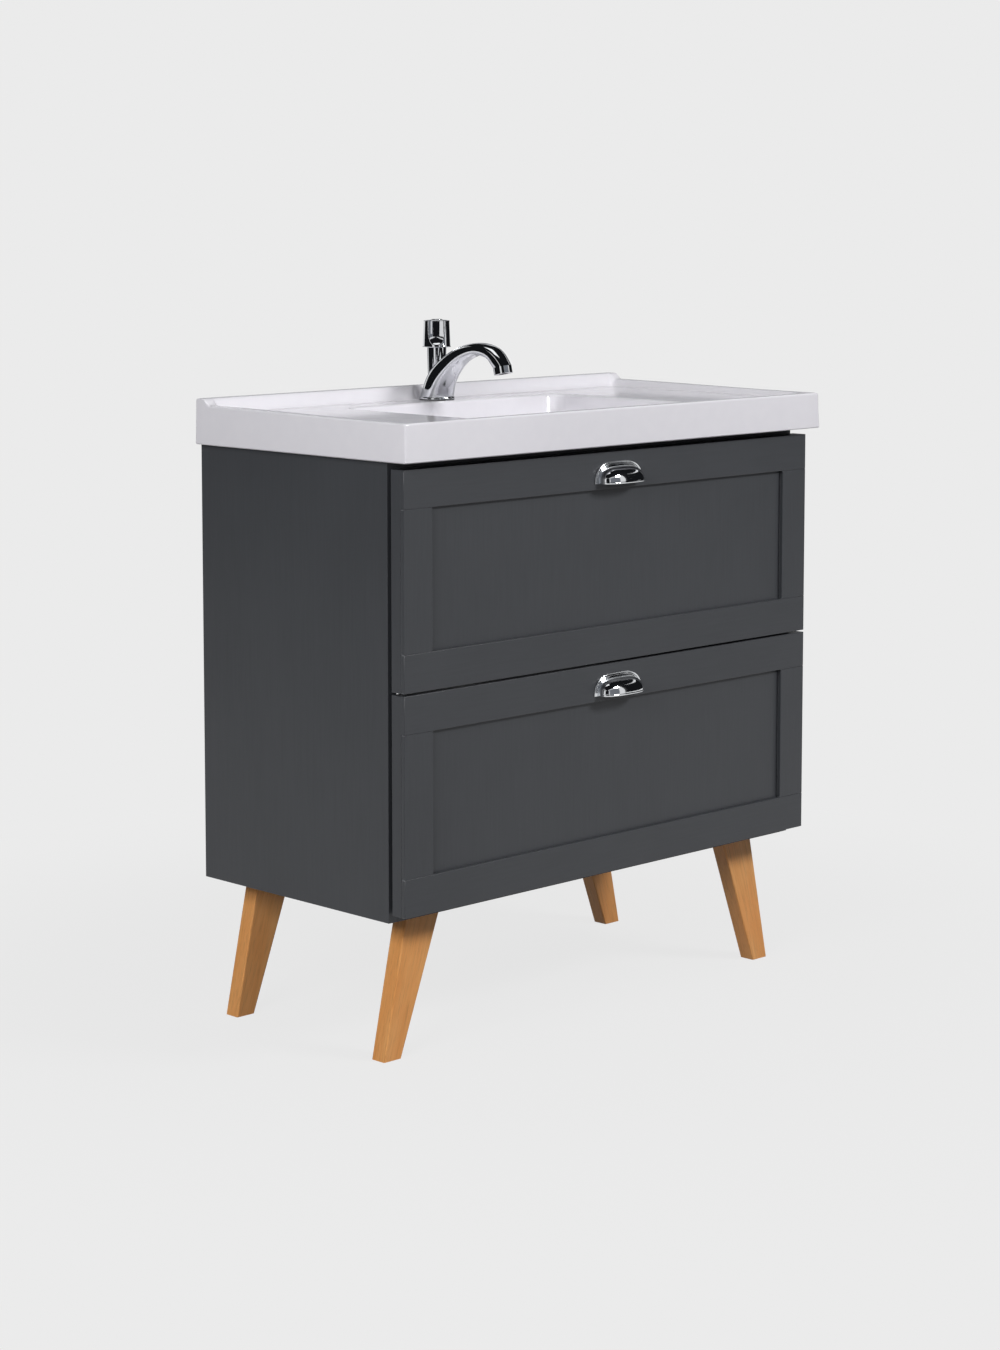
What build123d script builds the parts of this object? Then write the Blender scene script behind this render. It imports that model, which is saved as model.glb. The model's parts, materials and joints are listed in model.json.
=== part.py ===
from build123d import *
from math import atan2, degrees, radians, tan
import os

# A bathroom vanity: a two-drawer carcass on four splayed wooden legs, a moulded basin with an upstand,
# and a pillar tap with a fluted knob. Lengths are in millimetres. The origin is on the floor, at the
# centre of the overall box. The drawer fronts face -Y and +Z is up.

# Carcass
carcass_width = 778
carcass_depth = 365
board = 15
board_edge = 0.6
front_rail_height = 60
upper_back_rail_height = 90
lower_back_rail_height = 80
wall_hole = 7
wall_hole_spacing = 600

# Cam fittings that pull the boards against the sides
cam_bolt = 7
cam_bolt_grip = 10
cam_lock = 15
cam_lock_depth = 12
cam_reach = 34
cam_inset = 50
cam_slot = 2
cam_end_gap = 0.5
hole_clearance = 0.2

# Legs
leg_height = 188
leg_thickness = 24
leg_top_width = 60
leg_foot_width = 30
leg_top_inset = 53
leg_foot_inset = 13
leg_end_inset = 24
leg_edge = 2
leg_screw = 5
leg_screw_head = 11
leg_screw_head_height = 3
leg_screw_length = 55
leg_screw_end_gap = 1
leg_screw_spacing = 24

# Drawer fronts: a flat panel framed by four applied strips
lower_front_height = 282
upper_front_height = 280
front_gap = 3
front_raise = 11
front_reveal = 1
front_standoff = 6
panel_thickness = 17
frame_thickness = 6
frame_width = 49
frame_edge = 0.8

# Cup pulls
pull_width = 91
pull_dome = 23
pull_flange = 6
pull_flange_thickness = 2
pull_wall = 1.8
pull_end_radius = 20
pull_drop = 12
pull_boss = 9
pull_boss_height = 11
pull_screw = 4
pull_screw_grip = 6
pull_screw_end_gap = 1
pull_screw_spacing = 64
pull_screw_head = 8
pull_screw_head_height = 2.5

# Drawer boxes
box_board = 12
box_raise = 15
upper_box_height = 120
lower_box_height = 170
box_tail_gap = 26
box_bottom = 6
box_bottom_raise = 8
box_groove = 5.5
groove_clearance = 0.2
trap_notch_width = 160
trap_notch_front = 60
trap_wall = 6
trap_corner = 12

# Runners: three nested channels on each side of a drawer
runner_space = 13
runner_height = 45
runner_sheet = 1.2
runner_clearance = 0.4
runner_head_room = 2
runner_lip = 10
runner_front_gap = 2
runner_tail_gap = 48
runner_rise = 60
runner_screw = 3.5
runner_screw_length = 9
runner_screw_head = 7
runner_screw_head_height = 1.5
runner_screw_inset = 40

# Basin
skirt_clearance = 1.5
skirt_wall = 9.5
skirt_height = 49.5
skirt_draft = 1.5
basin_gap = 9.5
basin_overhang = 16
basin_corner = 8
rim_round = 4
rim_width = 14
dish_depth = 8
dish_slope = 8
dish_corner = 24
deck_thickness = 12
upstand_height = 11
upstand_thickness = 16
upstand_round = 6
upstand_ramp = 13
upstand_tap_room = 2.5
bowl_width = 410
bowl_depth = 110
bowl_corner = 22
bowl_taper = 12
bowl_shell = 10
bowl_bottom_round = 18
bowl_lip_round = 5
bowl_front_room = 7
tap_ledge = 78

# Overflow and waste
overflow_drop = 47
overflow_ring_outer = 30
overflow_ring_height = 2
overflow_bore = 18
overflow_sleeve = 1.5
overflow_sleeve_length = 5
overflow_duct_width = 26
overflow_duct = 10
overflow_duct_wall = 6
drain_flange_outer = 62
drain_flange_height = 2.5
drain_flange_round = 1.2
drain_body = 41.5
drain_body_wall = 3.5
drain_body_length = 78
drain_hole_clearance = 0.5
drain_boss = 74
drain_boss_height = 22
drain_strainer_drop = 8
drain_strainer = 3
drain_strainer_hole = 7
drain_strainer_holes = 6
drain_strainer_circle = 23
drain_gasket = 3
drain_gasket_outer = 64
drain_nut = 64
drain_nut_height = 10
drain_tail = 32
drain_tail_wall = 1.5
drain_tail_grip = 20
drain_tail_length = 80

# Tap: the spout is lofted through sections at a reach and height from the foot, with the path's
# direction there, a width across and a thickness
tap_inset = 44
tap_gasket = 1.5
tap_gasket_inset = 1
tap_foot = 51
tap_foot_height = 4
tap_foot_round = 2
spout_sections = [
    (0, 2, 90, 48, 48),
    (10, 27, 62, 41, 38),
    (28, 47, 43, 35, 28),
    (54, 64, 24, 30, 21),
    (86, 72.5, 0, 28, 17.5),
    (114, 67, -36, 26.5, 19),
    (131, 50, -74, 25, 25),
]
spout_corner_share = 0.46
aerator = 26
aerator_height = 10
aerator_seat = 3
aerator_bore = 16
aerator_tilt = 13
aerator_grid = 1.5
tap_hole = 23
tap_shank = 21
tap_shank_grip = 8
tap_inlet = 20.6
tap_inlet_length = 40
tap_waterway = 12
tap_nut = 34
tap_nut_height = 8
bonnet_seat = 32
bonnet_height = 40
bonnet_foot = 25
bonnet_top = 27
bonnet_clearance = 0.3
cartridge = 16
cartridge_height = 30
cartridge_fit = 0.1
spindle = 10
spindle_clearance = 0.05
spindle_start = 8
spindle_grip = 28
knob = 40
knob_height = 39
knob_gap = 0.4
knob_flutes = 3
knob_flute_start = 225
knob_flute_radius = 34
knob_flute_bite = 8
knob_flute_tilt = 13.5
knob_crown = 2
knob_cap = 16
knob_cap_height = 2.5
knob_cap_round = 0.8

# Places worked out from the sizes above
carcass_half = carcass_width / 2
inner_half = carcass_half - board
front_half = carcass_half - front_reveal
front_thickness = panel_thickness + frame_thickness
overall_depth = max(pull_dome, basin_overhang) + front_thickness + front_standoff + carcass_depth
back_y = overall_depth / 2
carcass_front_y = back_y - carcass_depth
front_back_y = carcass_front_y - front_standoff
front_face_y = front_back_y - front_thickness
carcass_y = (carcass_front_y, back_y)

floor_top_z = leg_height + board
lower_front_z = leg_height + front_raise
upper_front_z = lower_front_z + lower_front_height + front_gap
upper_front_top_z = upper_front_z + upper_front_height
basin_bottom_z = upper_front_top_z + basin_gap
rim_z = basin_bottom_z + skirt_height
deck_z = rim_z - dish_depth
carcass_top_z = deck_z - deck_thickness

basin_half = carcass_half + skirt_clearance + skirt_wall
basin_front_y = front_face_y - basin_overhang
upstand_front_y = back_y - upstand_thickness
bowl_back_y = back_y - tap_ledge
bowl_front_y = carcass_front_y + board + bowl_front_room + bowl_shell
bowl_length = bowl_back_y - bowl_front_y
bowl_y = (bowl_back_y + bowl_front_y) / 2
bowl_floor_z = deck_z - bowl_depth
boss_bottom_z = bowl_floor_z - drain_boss_height
tap_y = back_y - tap_inset
tap_z = deck_z + tap_gasket
bonnet_z = tap_z + bonnet_seat
knob_z = bonnet_z + bonnet_height + knob_gap

drawer_half = inner_half - runner_space
box_end_y = back_y - board - box_tail_gap
box_y = (front_back_y, box_end_y)
runner_y = (carcass_front_y + runner_front_gap, back_y - board - runner_tail_gap)
runner_screw_y = (runner_y[0] + runner_screw_inset, runner_y[1] - runner_screw_inset)
upper_box_z = upper_front_z + box_raise
lower_box_z = lower_front_z + box_raise
upper_runner_z = upper_box_z + runner_rise
lower_runner_z = lower_box_z + runner_rise
trap_notch_y = bowl_y - trap_notch_front

BELOW = (Align.CENTER, Align.CENTER, Align.MAX)
ABOVE = (Align.CENTER, Align.CENTER, Align.MIN)
SIDES = {"left": -1, "right": 1}
HEX = 6
PICK = 0.1

pieces = []


def keep(piece, label):
    """Label a finished piece and put it on the list that is written at the end."""
    piece.part.label = label
    pieces.append(piece)


def block(x, y, z, mode=Mode.ADD):
    """Box between two X, two Y and two Z places, given in any order."""
    with Locations(((x[0] + x[1]) / 2, (y[0] + y[1]) / 2, (z[0] + z[1]) / 2)):
        Box(abs(x[1] - x[0]), abs(y[1] - y[0]), abs(z[1] - z[0]), mode=mode)


def drill(places, diameter, depth):
    """Blind holes below each place, wider than what goes in by the hole clearance."""
    with Locations(*places):
        Cylinder((diameter + hole_clearance) / 2, depth, align=BELOW, mode=Mode.SUBTRACT)


def place(point, direction):
    """Location at a point whose own Z points along a direction."""
    return Plane(origin=point, z_dir=direction).location


def screw_group(label, places, shank, length, head, head_height):
    """Pan-head screws: the head stands on each place, the shank goes down from it."""
    with BuildPart() as screws:
        with Locations(*places):
            Cylinder(head / 2, head_height, align=ABOVE)
            Cylinder(shank / 2, length, align=BELOW)
    keep(screws, label)


# Where the fasteners go. Each cam fitting has the middle of its board's end and the way its lock faces.
cam_points = [
    ((carcass_front_y + cam_inset, leg_height + board / 2), (0, 0, 1)),
    ((back_y - cam_inset, leg_height + board / 2), (0, 0, 1)),
    ((carcass_front_y + board / 2, carcass_top_z - front_rail_height / 2), (0, 1, 0)),
    ((back_y - board / 2, carcass_top_z - upper_back_rail_height / 2), (0, -1, 0)),
    ((back_y - board / 2, floor_top_z + lower_back_rail_height / 2), (0, -1, 0)),
]
cam_bolt_places = []
cam_side_places = []
cam_lock_places = []
for side in SIDES.values():
    for (y, z), facing in cam_points:
        lock_x = side * (inner_half - cam_reach)
        face = Vector(lock_x, y, z) + Vector(facing) * (board / 2)
        cam_bolt_places.append(place((side * inner_half, y, z), (side, 0, 0)))
        cam_side_places.append(place((side * inner_half, y, z), (-side, 0, 0)))
        cam_lock_places.append(place(face, facing))

leg_rows = {
    "front": (carcass_front_y + leg_end_inset, carcass_front_y + leg_end_inset + leg_thickness),
    "rear": (back_y - leg_end_inset - leg_thickness, back_y - leg_end_inset),
}
leg_middle_x = carcass_half - leg_top_inset - leg_top_width / 2
leg_screw_shift = (leg_top_width - leg_foot_width) / 4
leg_screw_places = []
for side in SIDES.values():
    for row in leg_rows.values():
        for shift in (-leg_screw_spacing / 2, leg_screw_spacing / 2):
            x = side * (leg_middle_x + leg_screw_shift + shift)
            leg_screw_places.append(place((x, sum(row) / 2, floor_top_z), (0, 0, 1)))


def runner_screw_places(x, z, inward):
    """Screw heads on both sides at X distance x, facing the middle or away from it."""
    return [
        place((side * x, y, z), (-side if inward else side, 0, 0))
        for side in SIDES.values()
        for y in runner_screw_y
    ]


cabinet_runner_screws = []
for z in (upper_runner_z, lower_runner_z):
    cabinet_runner_screws += runner_screw_places(inner_half - runner_sheet, z, True)


def cut_cams():
    """Bores for the cam bolts and pockets for the cam locks."""
    drill(cam_bolt_places, cam_bolt, cam_reach)
    drill(cam_lock_places, cam_lock, cam_lock_depth)


# Carcass boards
for name, side in SIDES.items():
    with BuildPart() as side_panel:
        block((side * inner_half, side * carcass_half), carcass_y, (leg_height, carcass_top_z))
        fillet(side_panel.edges(), board_edge)
        drill(cam_side_places, cam_bolt, cam_bolt_grip)
        drill(cabinet_runner_screws, runner_screw, runner_screw_length)
    keep(side_panel, f"side_panel_{name}")

with BuildPart() as bottom_panel:
    block((-inner_half, inner_half), carcass_y, (leg_height, floor_top_z))
    cut_cams()
    drill(leg_screw_places, leg_screw, board)
keep(bottom_panel, "bottom_panel")

with BuildPart() as front_rail:
    rail_z = (carcass_top_z - front_rail_height, carcass_top_z)
    block((-inner_half, inner_half), (carcass_front_y, carcass_front_y + board), rail_z)
    cut_cams()
keep(front_rail, "front_rail")

with BuildPart() as back_rail_upper:
    rail_z = (carcass_top_z - upper_back_rail_height, carcass_top_z)
    block((-inner_half, inner_half), (back_y - board, back_y), rail_z)
    cut_cams()
    with Locations(Plane(origin=(0, back_y, sum(rail_z) / 2), x_dir=(1, 0, 0), z_dir=(0, 1, 0))):
        with GridLocations(wall_hole_spacing, 1, 2, 1):
            Cylinder(wall_hole / 2, board, align=BELOW, mode=Mode.SUBTRACT)
keep(back_rail_upper, "back_rail_upper")

with BuildPart() as back_rail_lower:
    rail_z = (floor_top_z, floor_top_z + lower_back_rail_height)
    block((-inner_half, inner_half), (back_y - board, back_y), rail_z)
    cut_cams()
keep(back_rail_lower, "back_rail_lower")

with BuildPart() as cam_fittings:
    with Locations(*cam_lock_places):
        Cylinder(cam_lock / 2, cam_lock_depth, align=BELOW)
        Box(cam_lock, cam_slot, cam_slot, align=BELOW, mode=Mode.SUBTRACT)
    drill(cam_bolt_places, cam_bolt, cam_reach)
    with Locations(*cam_bolt_places):
        Cylinder(cam_bolt / 2, cam_reach - cam_end_gap, align=BELOW)
        Cylinder(cam_bolt / 2, cam_bolt_grip, align=ABOVE)
keep(cam_fittings, "cam_fittings")

# Legs: boards that splay outwards and taper to the foot
for row_name, row in leg_rows.items():
    for name, side in SIDES.items():
        top_x = side * (carcass_half - leg_top_inset)
        foot_x = side * (carcass_half - leg_foot_inset)
        with BuildPart() as leg:
            with BuildSketch(Plane.XZ.offset(-row[1])):
                with BuildLine():
                    Polyline(
                        (top_x, leg_height),
                        (foot_x, 0),
                        (foot_x - side * leg_foot_width, 0),
                        (top_x - side * leg_top_width, leg_height),
                        close=True,
                    )
                make_face()
            extrude(amount=leg_thickness)
            fillet(leg.edges().filter_by(Axis.Y, reverse=True).filter_by(Axis.X, reverse=True), leg_edge)
            drill(leg_screw_places, leg_screw, leg_screw_length + leg_screw_end_gap)
        keep(leg, f"leg_{row_name}_{name}")

screw_group(
    "leg_screws", leg_screw_places, leg_screw, leg_screw_length,
    leg_screw_head, leg_screw_head_height,
)


# Drawers
def framed_front(prefix, z0, height, screw_places):
    """A flat panel with two full-width rails and two stiles between them applied to its face."""
    frame_y = (front_face_y, front_face_y + frame_thickness)
    top_z = z0 + height
    screw_length = front_thickness + pull_screw_grip

    with BuildPart() as panel:
        block((-front_half, front_half), (frame_y[1], front_back_y), (z0, top_z))
        fillet(panel.edges().filter_by(Axis.Y), board_edge)
        drill(screw_places, pull_screw, screw_length)
    keep(panel, f"{prefix}_panel")

    for name, rail_z in (("top", (top_z - frame_width, top_z)), ("bottom", (z0, z0 + frame_width))):
        with BuildPart() as rail:
            block((-front_half, front_half), frame_y, rail_z)
            fillet(rail.faces().sort_by(Axis.Y)[0].edges(), frame_edge)
            drill(screw_places, pull_screw, screw_length)
        keep(rail, f"{prefix}_rail_{name}")

    for name, side in SIDES.items():
        with BuildPart() as stile:
            stile_x = (side * (front_half - frame_width), side * front_half)
            block(stile_x, frame_y, (z0 + frame_width, top_z - frame_width))
            fillet(stile.faces().sort_by(Axis.Y)[0].edges(), frame_edge)
        keep(stile, f"{prefix}_stile_{name}")


def cup_form(z0, inset):
    """The cup's quarter-turned dome, drawn in all round by an inset."""
    with BuildPart() as form:
        with BuildSketch(Plane.XY.offset(z0)) as section:
            with Locations((0, front_face_y)):
                width = pull_width - 2 * (pull_flange + inset)
                Rectangle(width, pull_dome - inset, align=(Align.CENTER, Align.MAX))
            fillet(section.vertices().group_by(Axis.Y)[0], pull_end_radius - inset)
        revolve(axis=Axis((0, front_face_y, z0), (-1, 0, 0)), revolution_arc=90)
    return form.part


def cup_pull(label, z0, screw_places):
    """A dome on a thin flange, hollow and open below, with two screw bosses."""
    outside = cup_form(z0, 0)
    inside = cup_form(z0, pull_wall)

    with BuildPart() as hollow:
        add(inside)
        with Locations(*screw_places):
            Cylinder(pull_boss / 2, front_thickness + pull_dome, align=BELOW, mode=Mode.SUBTRACT)

    with BuildPart() as pull:
        add(outside)
        with BuildSketch(Plane.XZ.offset(-front_face_y)) as flange:
            with Locations((0, z0)):
                Rectangle(pull_width, pull_dome + pull_flange, align=(Align.CENTER, Align.MIN))
            fillet(flange.vertices().group_by(Axis.Y)[-1], pull_end_radius + pull_flange)
        extrude(amount=pull_flange_thickness)
        add(hollow.part, mode=Mode.SUBTRACT)
        drill(screw_places, pull_screw, front_thickness + pull_screw_grip + pull_screw_end_gap)
    keep(pull, label)


def drawer_box(prefix, z0, height, notched):
    """Two grooved sides, a bottom held in the grooves and a back that stands on it."""
    inside_half = drawer_half - box_board
    bottom_z = (z0 + box_bottom_raise, z0 + box_bottom_raise + box_bottom)
    groove_z = (bottom_z[0], bottom_z[1] + groove_clearance)
    wall_z = (bottom_z[1], z0 + height)
    back_wall_y = (box_end_y - box_board, box_end_y)
    notch_half = trap_notch_width / 2
    surround_x = (-notch_half - trap_wall, notch_half + trap_wall)
    screw_places = runner_screw_places(drawer_half + runner_sheet, z0 + runner_rise, False)

    for name, side in SIDES.items():
        with BuildPart() as box_side:
            block((side * inside_half, side * drawer_half), box_y, (z0, z0 + height))
            fillet(box_side.edges().filter_by(Axis.Y), board_edge)
            groove_x = (side * inside_half, side * (inside_half + box_groove + groove_clearance))
            block(groove_x, box_y, groove_z, mode=Mode.SUBTRACT)
            drill(screw_places, runner_screw, runner_screw_length)
        keep(box_side, f"{prefix}_side_{name}")

    with BuildPart() as bottom:
        block((-inside_half - box_groove, inside_half + box_groove), box_y, bottom_z)
        if notched:
            block((-notch_half, notch_half), (trap_notch_y, box_end_y), bottom_z, mode=Mode.SUBTRACT)
    keep(bottom, f"{prefix}_bottom")

    if notched:
        with BuildPart() as surround:
            block(surround_x, (trap_notch_y - trap_wall, box_end_y), wall_z)
            fillet(surround.edges().filter_by(Axis.Z).group_by(Axis.Y)[0], trap_corner)
            block((-notch_half, notch_half), (trap_notch_y, box_end_y), wall_z, mode=Mode.SUBTRACT)
        keep(surround, f"{prefix}_trap_surround")

    with BuildPart() as back:
        block((-inside_half, inside_half), back_wall_y, wall_z)
        if notched:
            block(surround_x, back_wall_y, wall_z, mode=Mode.SUBTRACT)
    keep(back, f"{prefix}_back")

    screw_group(
        f"{prefix}_runner_screws", screw_places, runner_screw, runner_screw_length,
        runner_screw_head, runner_screw_head_height,
    )


def channel_pair(label, plate, lips, nesting, z, screw_places):
    """Two facing channels. Plate and lips are distances from the middle, nesting counts outer channels."""
    half_height = runner_height / 2 - nesting * (runner_sheet + runner_clearance)
    sheet = runner_sheet if lips > plate else -runner_sheet
    with BuildPart() as channels:
        for side in SIDES.values():
            block((side * plate, side * (plate + sheet)), runner_y, (z - half_height, z + half_height))
            for end in (-1, 1):
                flange_z = (z + end * half_height, z + end * (half_height - runner_sheet))
                block((side * plate, side * lips), runner_y, flange_z)
        if screw_places:
            drill(screw_places, runner_screw, runner_screw_length)
    keep(channels, label)


def runner(prefix, z):
    """Outer channel on the carcass, middle channel running in it, inner channel on the drawer."""
    middle_plate = inner_half - runner_sheet - runner_head_room
    outer_screws = runner_screw_places(inner_half - runner_sheet, z, True)
    inner_screws = runner_screw_places(drawer_half + runner_sheet, z, False)
    channel_pair(f"runner_outer_{prefix}", inner_half, inner_half - runner_lip, 0, z, outer_screws)
    middle_lips = drawer_half + runner_sheet + runner_clearance
    channel_pair(f"runner_middle_{prefix}", middle_plate, middle_lips, 1, z, None)
    inner_lips = middle_plate - runner_sheet - runner_clearance
    channel_pair(f"runner_inner_{prefix}", drawer_half, inner_lips, 2, z, inner_screws)


def drawer(prefix, front_z, front_height, box_z, box_height, notched):
    """Everything that slides out with one drawer, and its runners."""
    pull_z = front_z + front_height - pull_drop - pull_flange - pull_dome
    pull_places = [
        place((side * pull_screw_spacing / 2, front_back_y, pull_z + pull_boss_height), (0, 1, 0))
        for side in SIDES.values()
    ]
    framed_front(prefix, front_z, front_height, pull_places)
    cup_pull(f"{prefix}_pull", pull_z, pull_places)
    screw_group(
        f"{prefix}_pull_screws", pull_places, pull_screw, front_thickness + pull_screw_grip,
        pull_screw_head, pull_screw_head_height,
    )
    drawer_box(prefix, box_z, box_height, notched)
    runner(prefix, box_z + runner_rise)


drawer("upper", upper_front_z, upper_front_height, upper_box_z, upper_box_height, True)
drawer("lower", lower_front_z, lower_front_height, lower_box_z, lower_box_height, False)
screw_group(
    "runner_screws_cabinet", cabinet_runner_screws, runner_screw, runner_screw_length,
    runner_screw_head, runner_screw_head_height,
)

# Basin. The overflow leaves the bowl's back wall square to its slope, into a duct moulded behind it.
bowl_plane = Plane(origin=(0, bowl_y, deck_z), x_dir=(1, 0, 0), z_dir=(0, 0, -1))
wall_lean = Vector(0, -1, 0).rotate(Axis.X, -bowl_taper)
overflow_point = bowl_plane.origin + Vector(0, bowl_length / 2, 0)
overflow_point += Vector(0, 0, -1).rotate(Axis.X, -bowl_taper) * overflow_drop
overflow_place = place(overflow_point, wall_lean)
drain_place = Location((0, bowl_y, bowl_floor_z))
drain_hole = drain_body + 2 * drain_hole_clearance
duct_half = overflow_duct_width / 2
duct_y = (overflow_point.Y + bowl_shell / 2, bowl_back_y + overflow_duct)
duct_top_z = carcass_top_z - overflow_duct_wall
duct_low_z = (boss_bottom_z + overflow_duct_wall, boss_bottom_z + overflow_duct_wall + overflow_duct)


def bowl_form(shell):
    """The bowl's rounded, tapering shape, grown all round by a shell thickness."""
    depth = bowl_depth + shell
    with BuildPart() as form:
        for level in (0, depth):
            growth = 2 * (shell - level * tan(radians(bowl_taper)))
            with BuildSketch(bowl_plane.offset(level)):
                RectangleRounded(bowl_width + growth, bowl_length + growth, bowl_corner + shell)
        loft(ruled=True)
        fillet(form.edges().group_by(Axis.Z)[0], bowl_bottom_round)
    return form.part


bowl_outside = bowl_form(bowl_shell)
bowl_inside = bowl_form(0)

with BuildPart() as basin:
    with BuildSketch(Plane.XY.offset(basin_bottom_z)):
        with Locations((0, back_y)):
            Rectangle(2 * basin_half, back_y - basin_front_y, align=(Align.CENTER, Align.MAX))
    with BuildSketch(Plane.XY.offset(rim_z)):
        with Locations((0, back_y)):
            rim_length = back_y - basin_front_y - skirt_draft
            Rectangle(2 * (basin_half - skirt_draft), rim_length, align=(Align.CENTER, Align.MAX))
    loft()
    upright = basin.edges().filter_by_position(Axis.Z, basin_bottom_z + PICK, rim_z - PICK)
    fillet(upright.group_by(Axis.Y)[0], basin_corner)

    # Sunken deck with sloping sides, from the front rim back to the upstand
    dish_half = basin_half - skirt_draft - rim_width
    dish_front_y = basin_front_y + skirt_draft + rim_width
    dish_back_y = upstand_front_y + dish_slope
    with BuildSketch(Plane(origin=(0, dish_back_y, rim_z), x_dir=(1, 0, 0), z_dir=(0, 0, -1))) as dish:
        Rectangle(2 * dish_half, dish_back_y - dish_front_y, align=(Align.CENTER, Align.MIN))
        fillet(dish.vertices().group_by(Axis.Y)[-1], dish_corner)
    extrude(amount=dish_depth, taper=degrees(atan2(dish_slope, dish_depth)), mode=Mode.SUBTRACT)
    for level in (rim_z, deck_z):
        rim = basin.edges().filter_by_position(Axis.Z, level - PICK, level + PICK)
        fillet(rim.filter_by_position(Axis.Y, basin_front_y, upstand_front_y - dish_depth), rim_round)

    # Upstand along the back, with a front that ramps down to the deck and a scoop round the tap's foot
    upstand_half = basin_half - skirt_draft
    upstand_top_z = rim_z + upstand_height
    with BuildSketch(Plane(origin=(-upstand_half, 0, 0), x_dir=(0, 1, 0), z_dir=(1, 0, 0))):
        with BuildLine():
            Polyline(
                (back_y, deck_z), (back_y, upstand_top_z), (upstand_front_y, upstand_top_z),
                (upstand_front_y - upstand_ramp, deck_z), close=True,
            )
        make_face()
    extrude(amount=2 * upstand_half)
    fillet(basin.edges().group_by(Axis.Z)[-1], upstand_round)
    with Locations((0, tap_y, deck_z)):
        scoop = tap_foot / 2 + upstand_tap_room
        Cylinder(scoop, dish_depth + upstand_height, align=ABOVE, mode=Mode.SUBTRACT)

    # Hollow under the deck, open at the back, that drops over the carcass
    hollow_half = basin_half - skirt_wall
    block(
        (-hollow_half, hollow_half), (basin_front_y + skirt_wall, back_y),
        (basin_bottom_z, carcass_top_z), mode=Mode.SUBTRACT,
    )

    # Bowl shell, waste boss and the ribs that hold the overflow duct
    add(bowl_outside)
    with Locations(drain_place):
        Cylinder(drain_boss / 2, drain_boss_height, align=BELOW)
    rib_half = duct_half + overflow_duct_wall
    rib_end_y = duct_y[1] + overflow_duct_wall
    block((-rib_half, rib_half), (overflow_point.Y, rib_end_y), (boss_bottom_z, carcass_top_z))
    rib_top_z = duct_low_z[1] + overflow_duct_wall
    block((-rib_half, rib_half), (bowl_y, rib_end_y), (boss_bottom_z, rib_top_z))

    # Inside of the bowl, then the duct, overflow, waste and tap holes
    add(bowl_inside, mode=Mode.SUBTRACT)
    bowl_lip = basin.edges().filter_by_position(Axis.Z, deck_z - PICK, deck_z + PICK)
    bowl_lip = bowl_lip.filter_by_position(Axis.X, -bowl_width / 2 - PICK, bowl_width / 2 + PICK)
    fillet(bowl_lip.filter_by_position(Axis.Y, bowl_front_y - PICK, bowl_back_y + PICK), bowl_lip_round)
    block(
        (-duct_half, duct_half), (duct_y[1] - overflow_duct, duct_y[1]),
        (duct_low_z[0], duct_top_z), mode=Mode.SUBTRACT,
    )
    block((-duct_half, duct_half), (bowl_y, duct_y[1]), duct_low_z, mode=Mode.SUBTRACT)
    with Locations(overflow_place):
        bore = overflow_bore + 2 * overflow_sleeve + hole_clearance
        Cylinder(bore / 2, bowl_shell + overflow_duct, align=BELOW, mode=Mode.SUBTRACT)
    with Locations(drain_place):
        Cylinder(drain_hole / 2, drain_boss_height, align=BELOW, mode=Mode.SUBTRACT)
    with Locations((0, tap_y, deck_z)):
        Cylinder(tap_hole / 2, deck_thickness, align=BELOW, mode=Mode.SUBTRACT)
keep(basin, "basin")

with BuildPart() as overflow_ring:
    sleeve = overflow_bore / 2 + overflow_sleeve
    with Locations(overflow_place):
        Cylinder(overflow_ring_outer / 2, overflow_ring_height, align=ABOVE)
        Cylinder(sleeve, overflow_sleeve_length, align=BELOW)
    with Locations(overflow_place * Location((0, 0, overflow_ring_height))):
        Hole(overflow_bore / 2)
keep(overflow_ring, "overflow_ring")

# Waste fitting, from the flange in the bowl down to the tail that a trap slides on
body_bore = drain_body - 2 * drain_body_wall
with BuildPart() as drain_flange:
    with Locations(drain_place):
        Cylinder(drain_flange_outer / 2, drain_flange_height, align=ABOVE)
        Cylinder(drain_body / 2, drain_body_length, align=BELOW)
    fillet(drain_flange.edges().group_by(Axis.Z)[-1], drain_flange_round)
    with Locations((0, bowl_y, bowl_floor_z + drain_flange_height)):
        Hole(body_bore / 2)
    with Locations((0, bowl_y, bowl_floor_z - drain_strainer_drop)):
        Cylinder(body_bore / 2, drain_strainer, align=BELOW)
        Hole(drain_strainer_hole / 2)
        with PolarLocations(drain_strainer_circle / 2, drain_strainer_holes):
            Hole(drain_strainer_hole / 2)
keep(drain_flange, "drain_flange")

with BuildPart() as drain_gasket_ring:
    with Locations((0, bowl_y, boss_bottom_z)):
        Cylinder(drain_gasket_outer / 2, drain_gasket, align=BELOW)
        Hole(drain_hole / 2)
keep(drain_gasket_ring, "drain_gasket")

with BuildPart() as drain_nut_ring:
    with BuildSketch(Plane.XY.offset(boss_bottom_z - drain_gasket - drain_nut_height)):
        with Locations((0, bowl_y)):
            RegularPolygon(drain_nut / 2, HEX)
            Circle((drain_body + hole_clearance) / 2, mode=Mode.SUBTRACT)
    extrude(amount=drain_nut_height)
keep(drain_nut_ring, "drain_nut")

with BuildPart() as drain_tail_tube:
    tail_outer = body_bore - hole_clearance
    body_end_z = bowl_floor_z - drain_body_length
    with Locations((0, bowl_y, body_end_z)):
        Cylinder(tail_outer / 2, drain_tail_grip, align=ABOVE)
        Cylinder(drain_tail / 2, drain_tail_length - drain_tail_grip, align=BELOW)
    with Locations((0, bowl_y, body_end_z + drain_tail_grip)):
        Hole(drain_tail / 2 - drain_tail_wall)
keep(drain_tail_tube, "drain_tail")

# Tap
aerator_point = (0, tap_y - spout_sections[-1][0], tap_z + spout_sections[-1][1])
aerator_place = place(aerator_point, Vector(0, 0, -1).rotate(Axis.X, -aerator_tilt))

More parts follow.
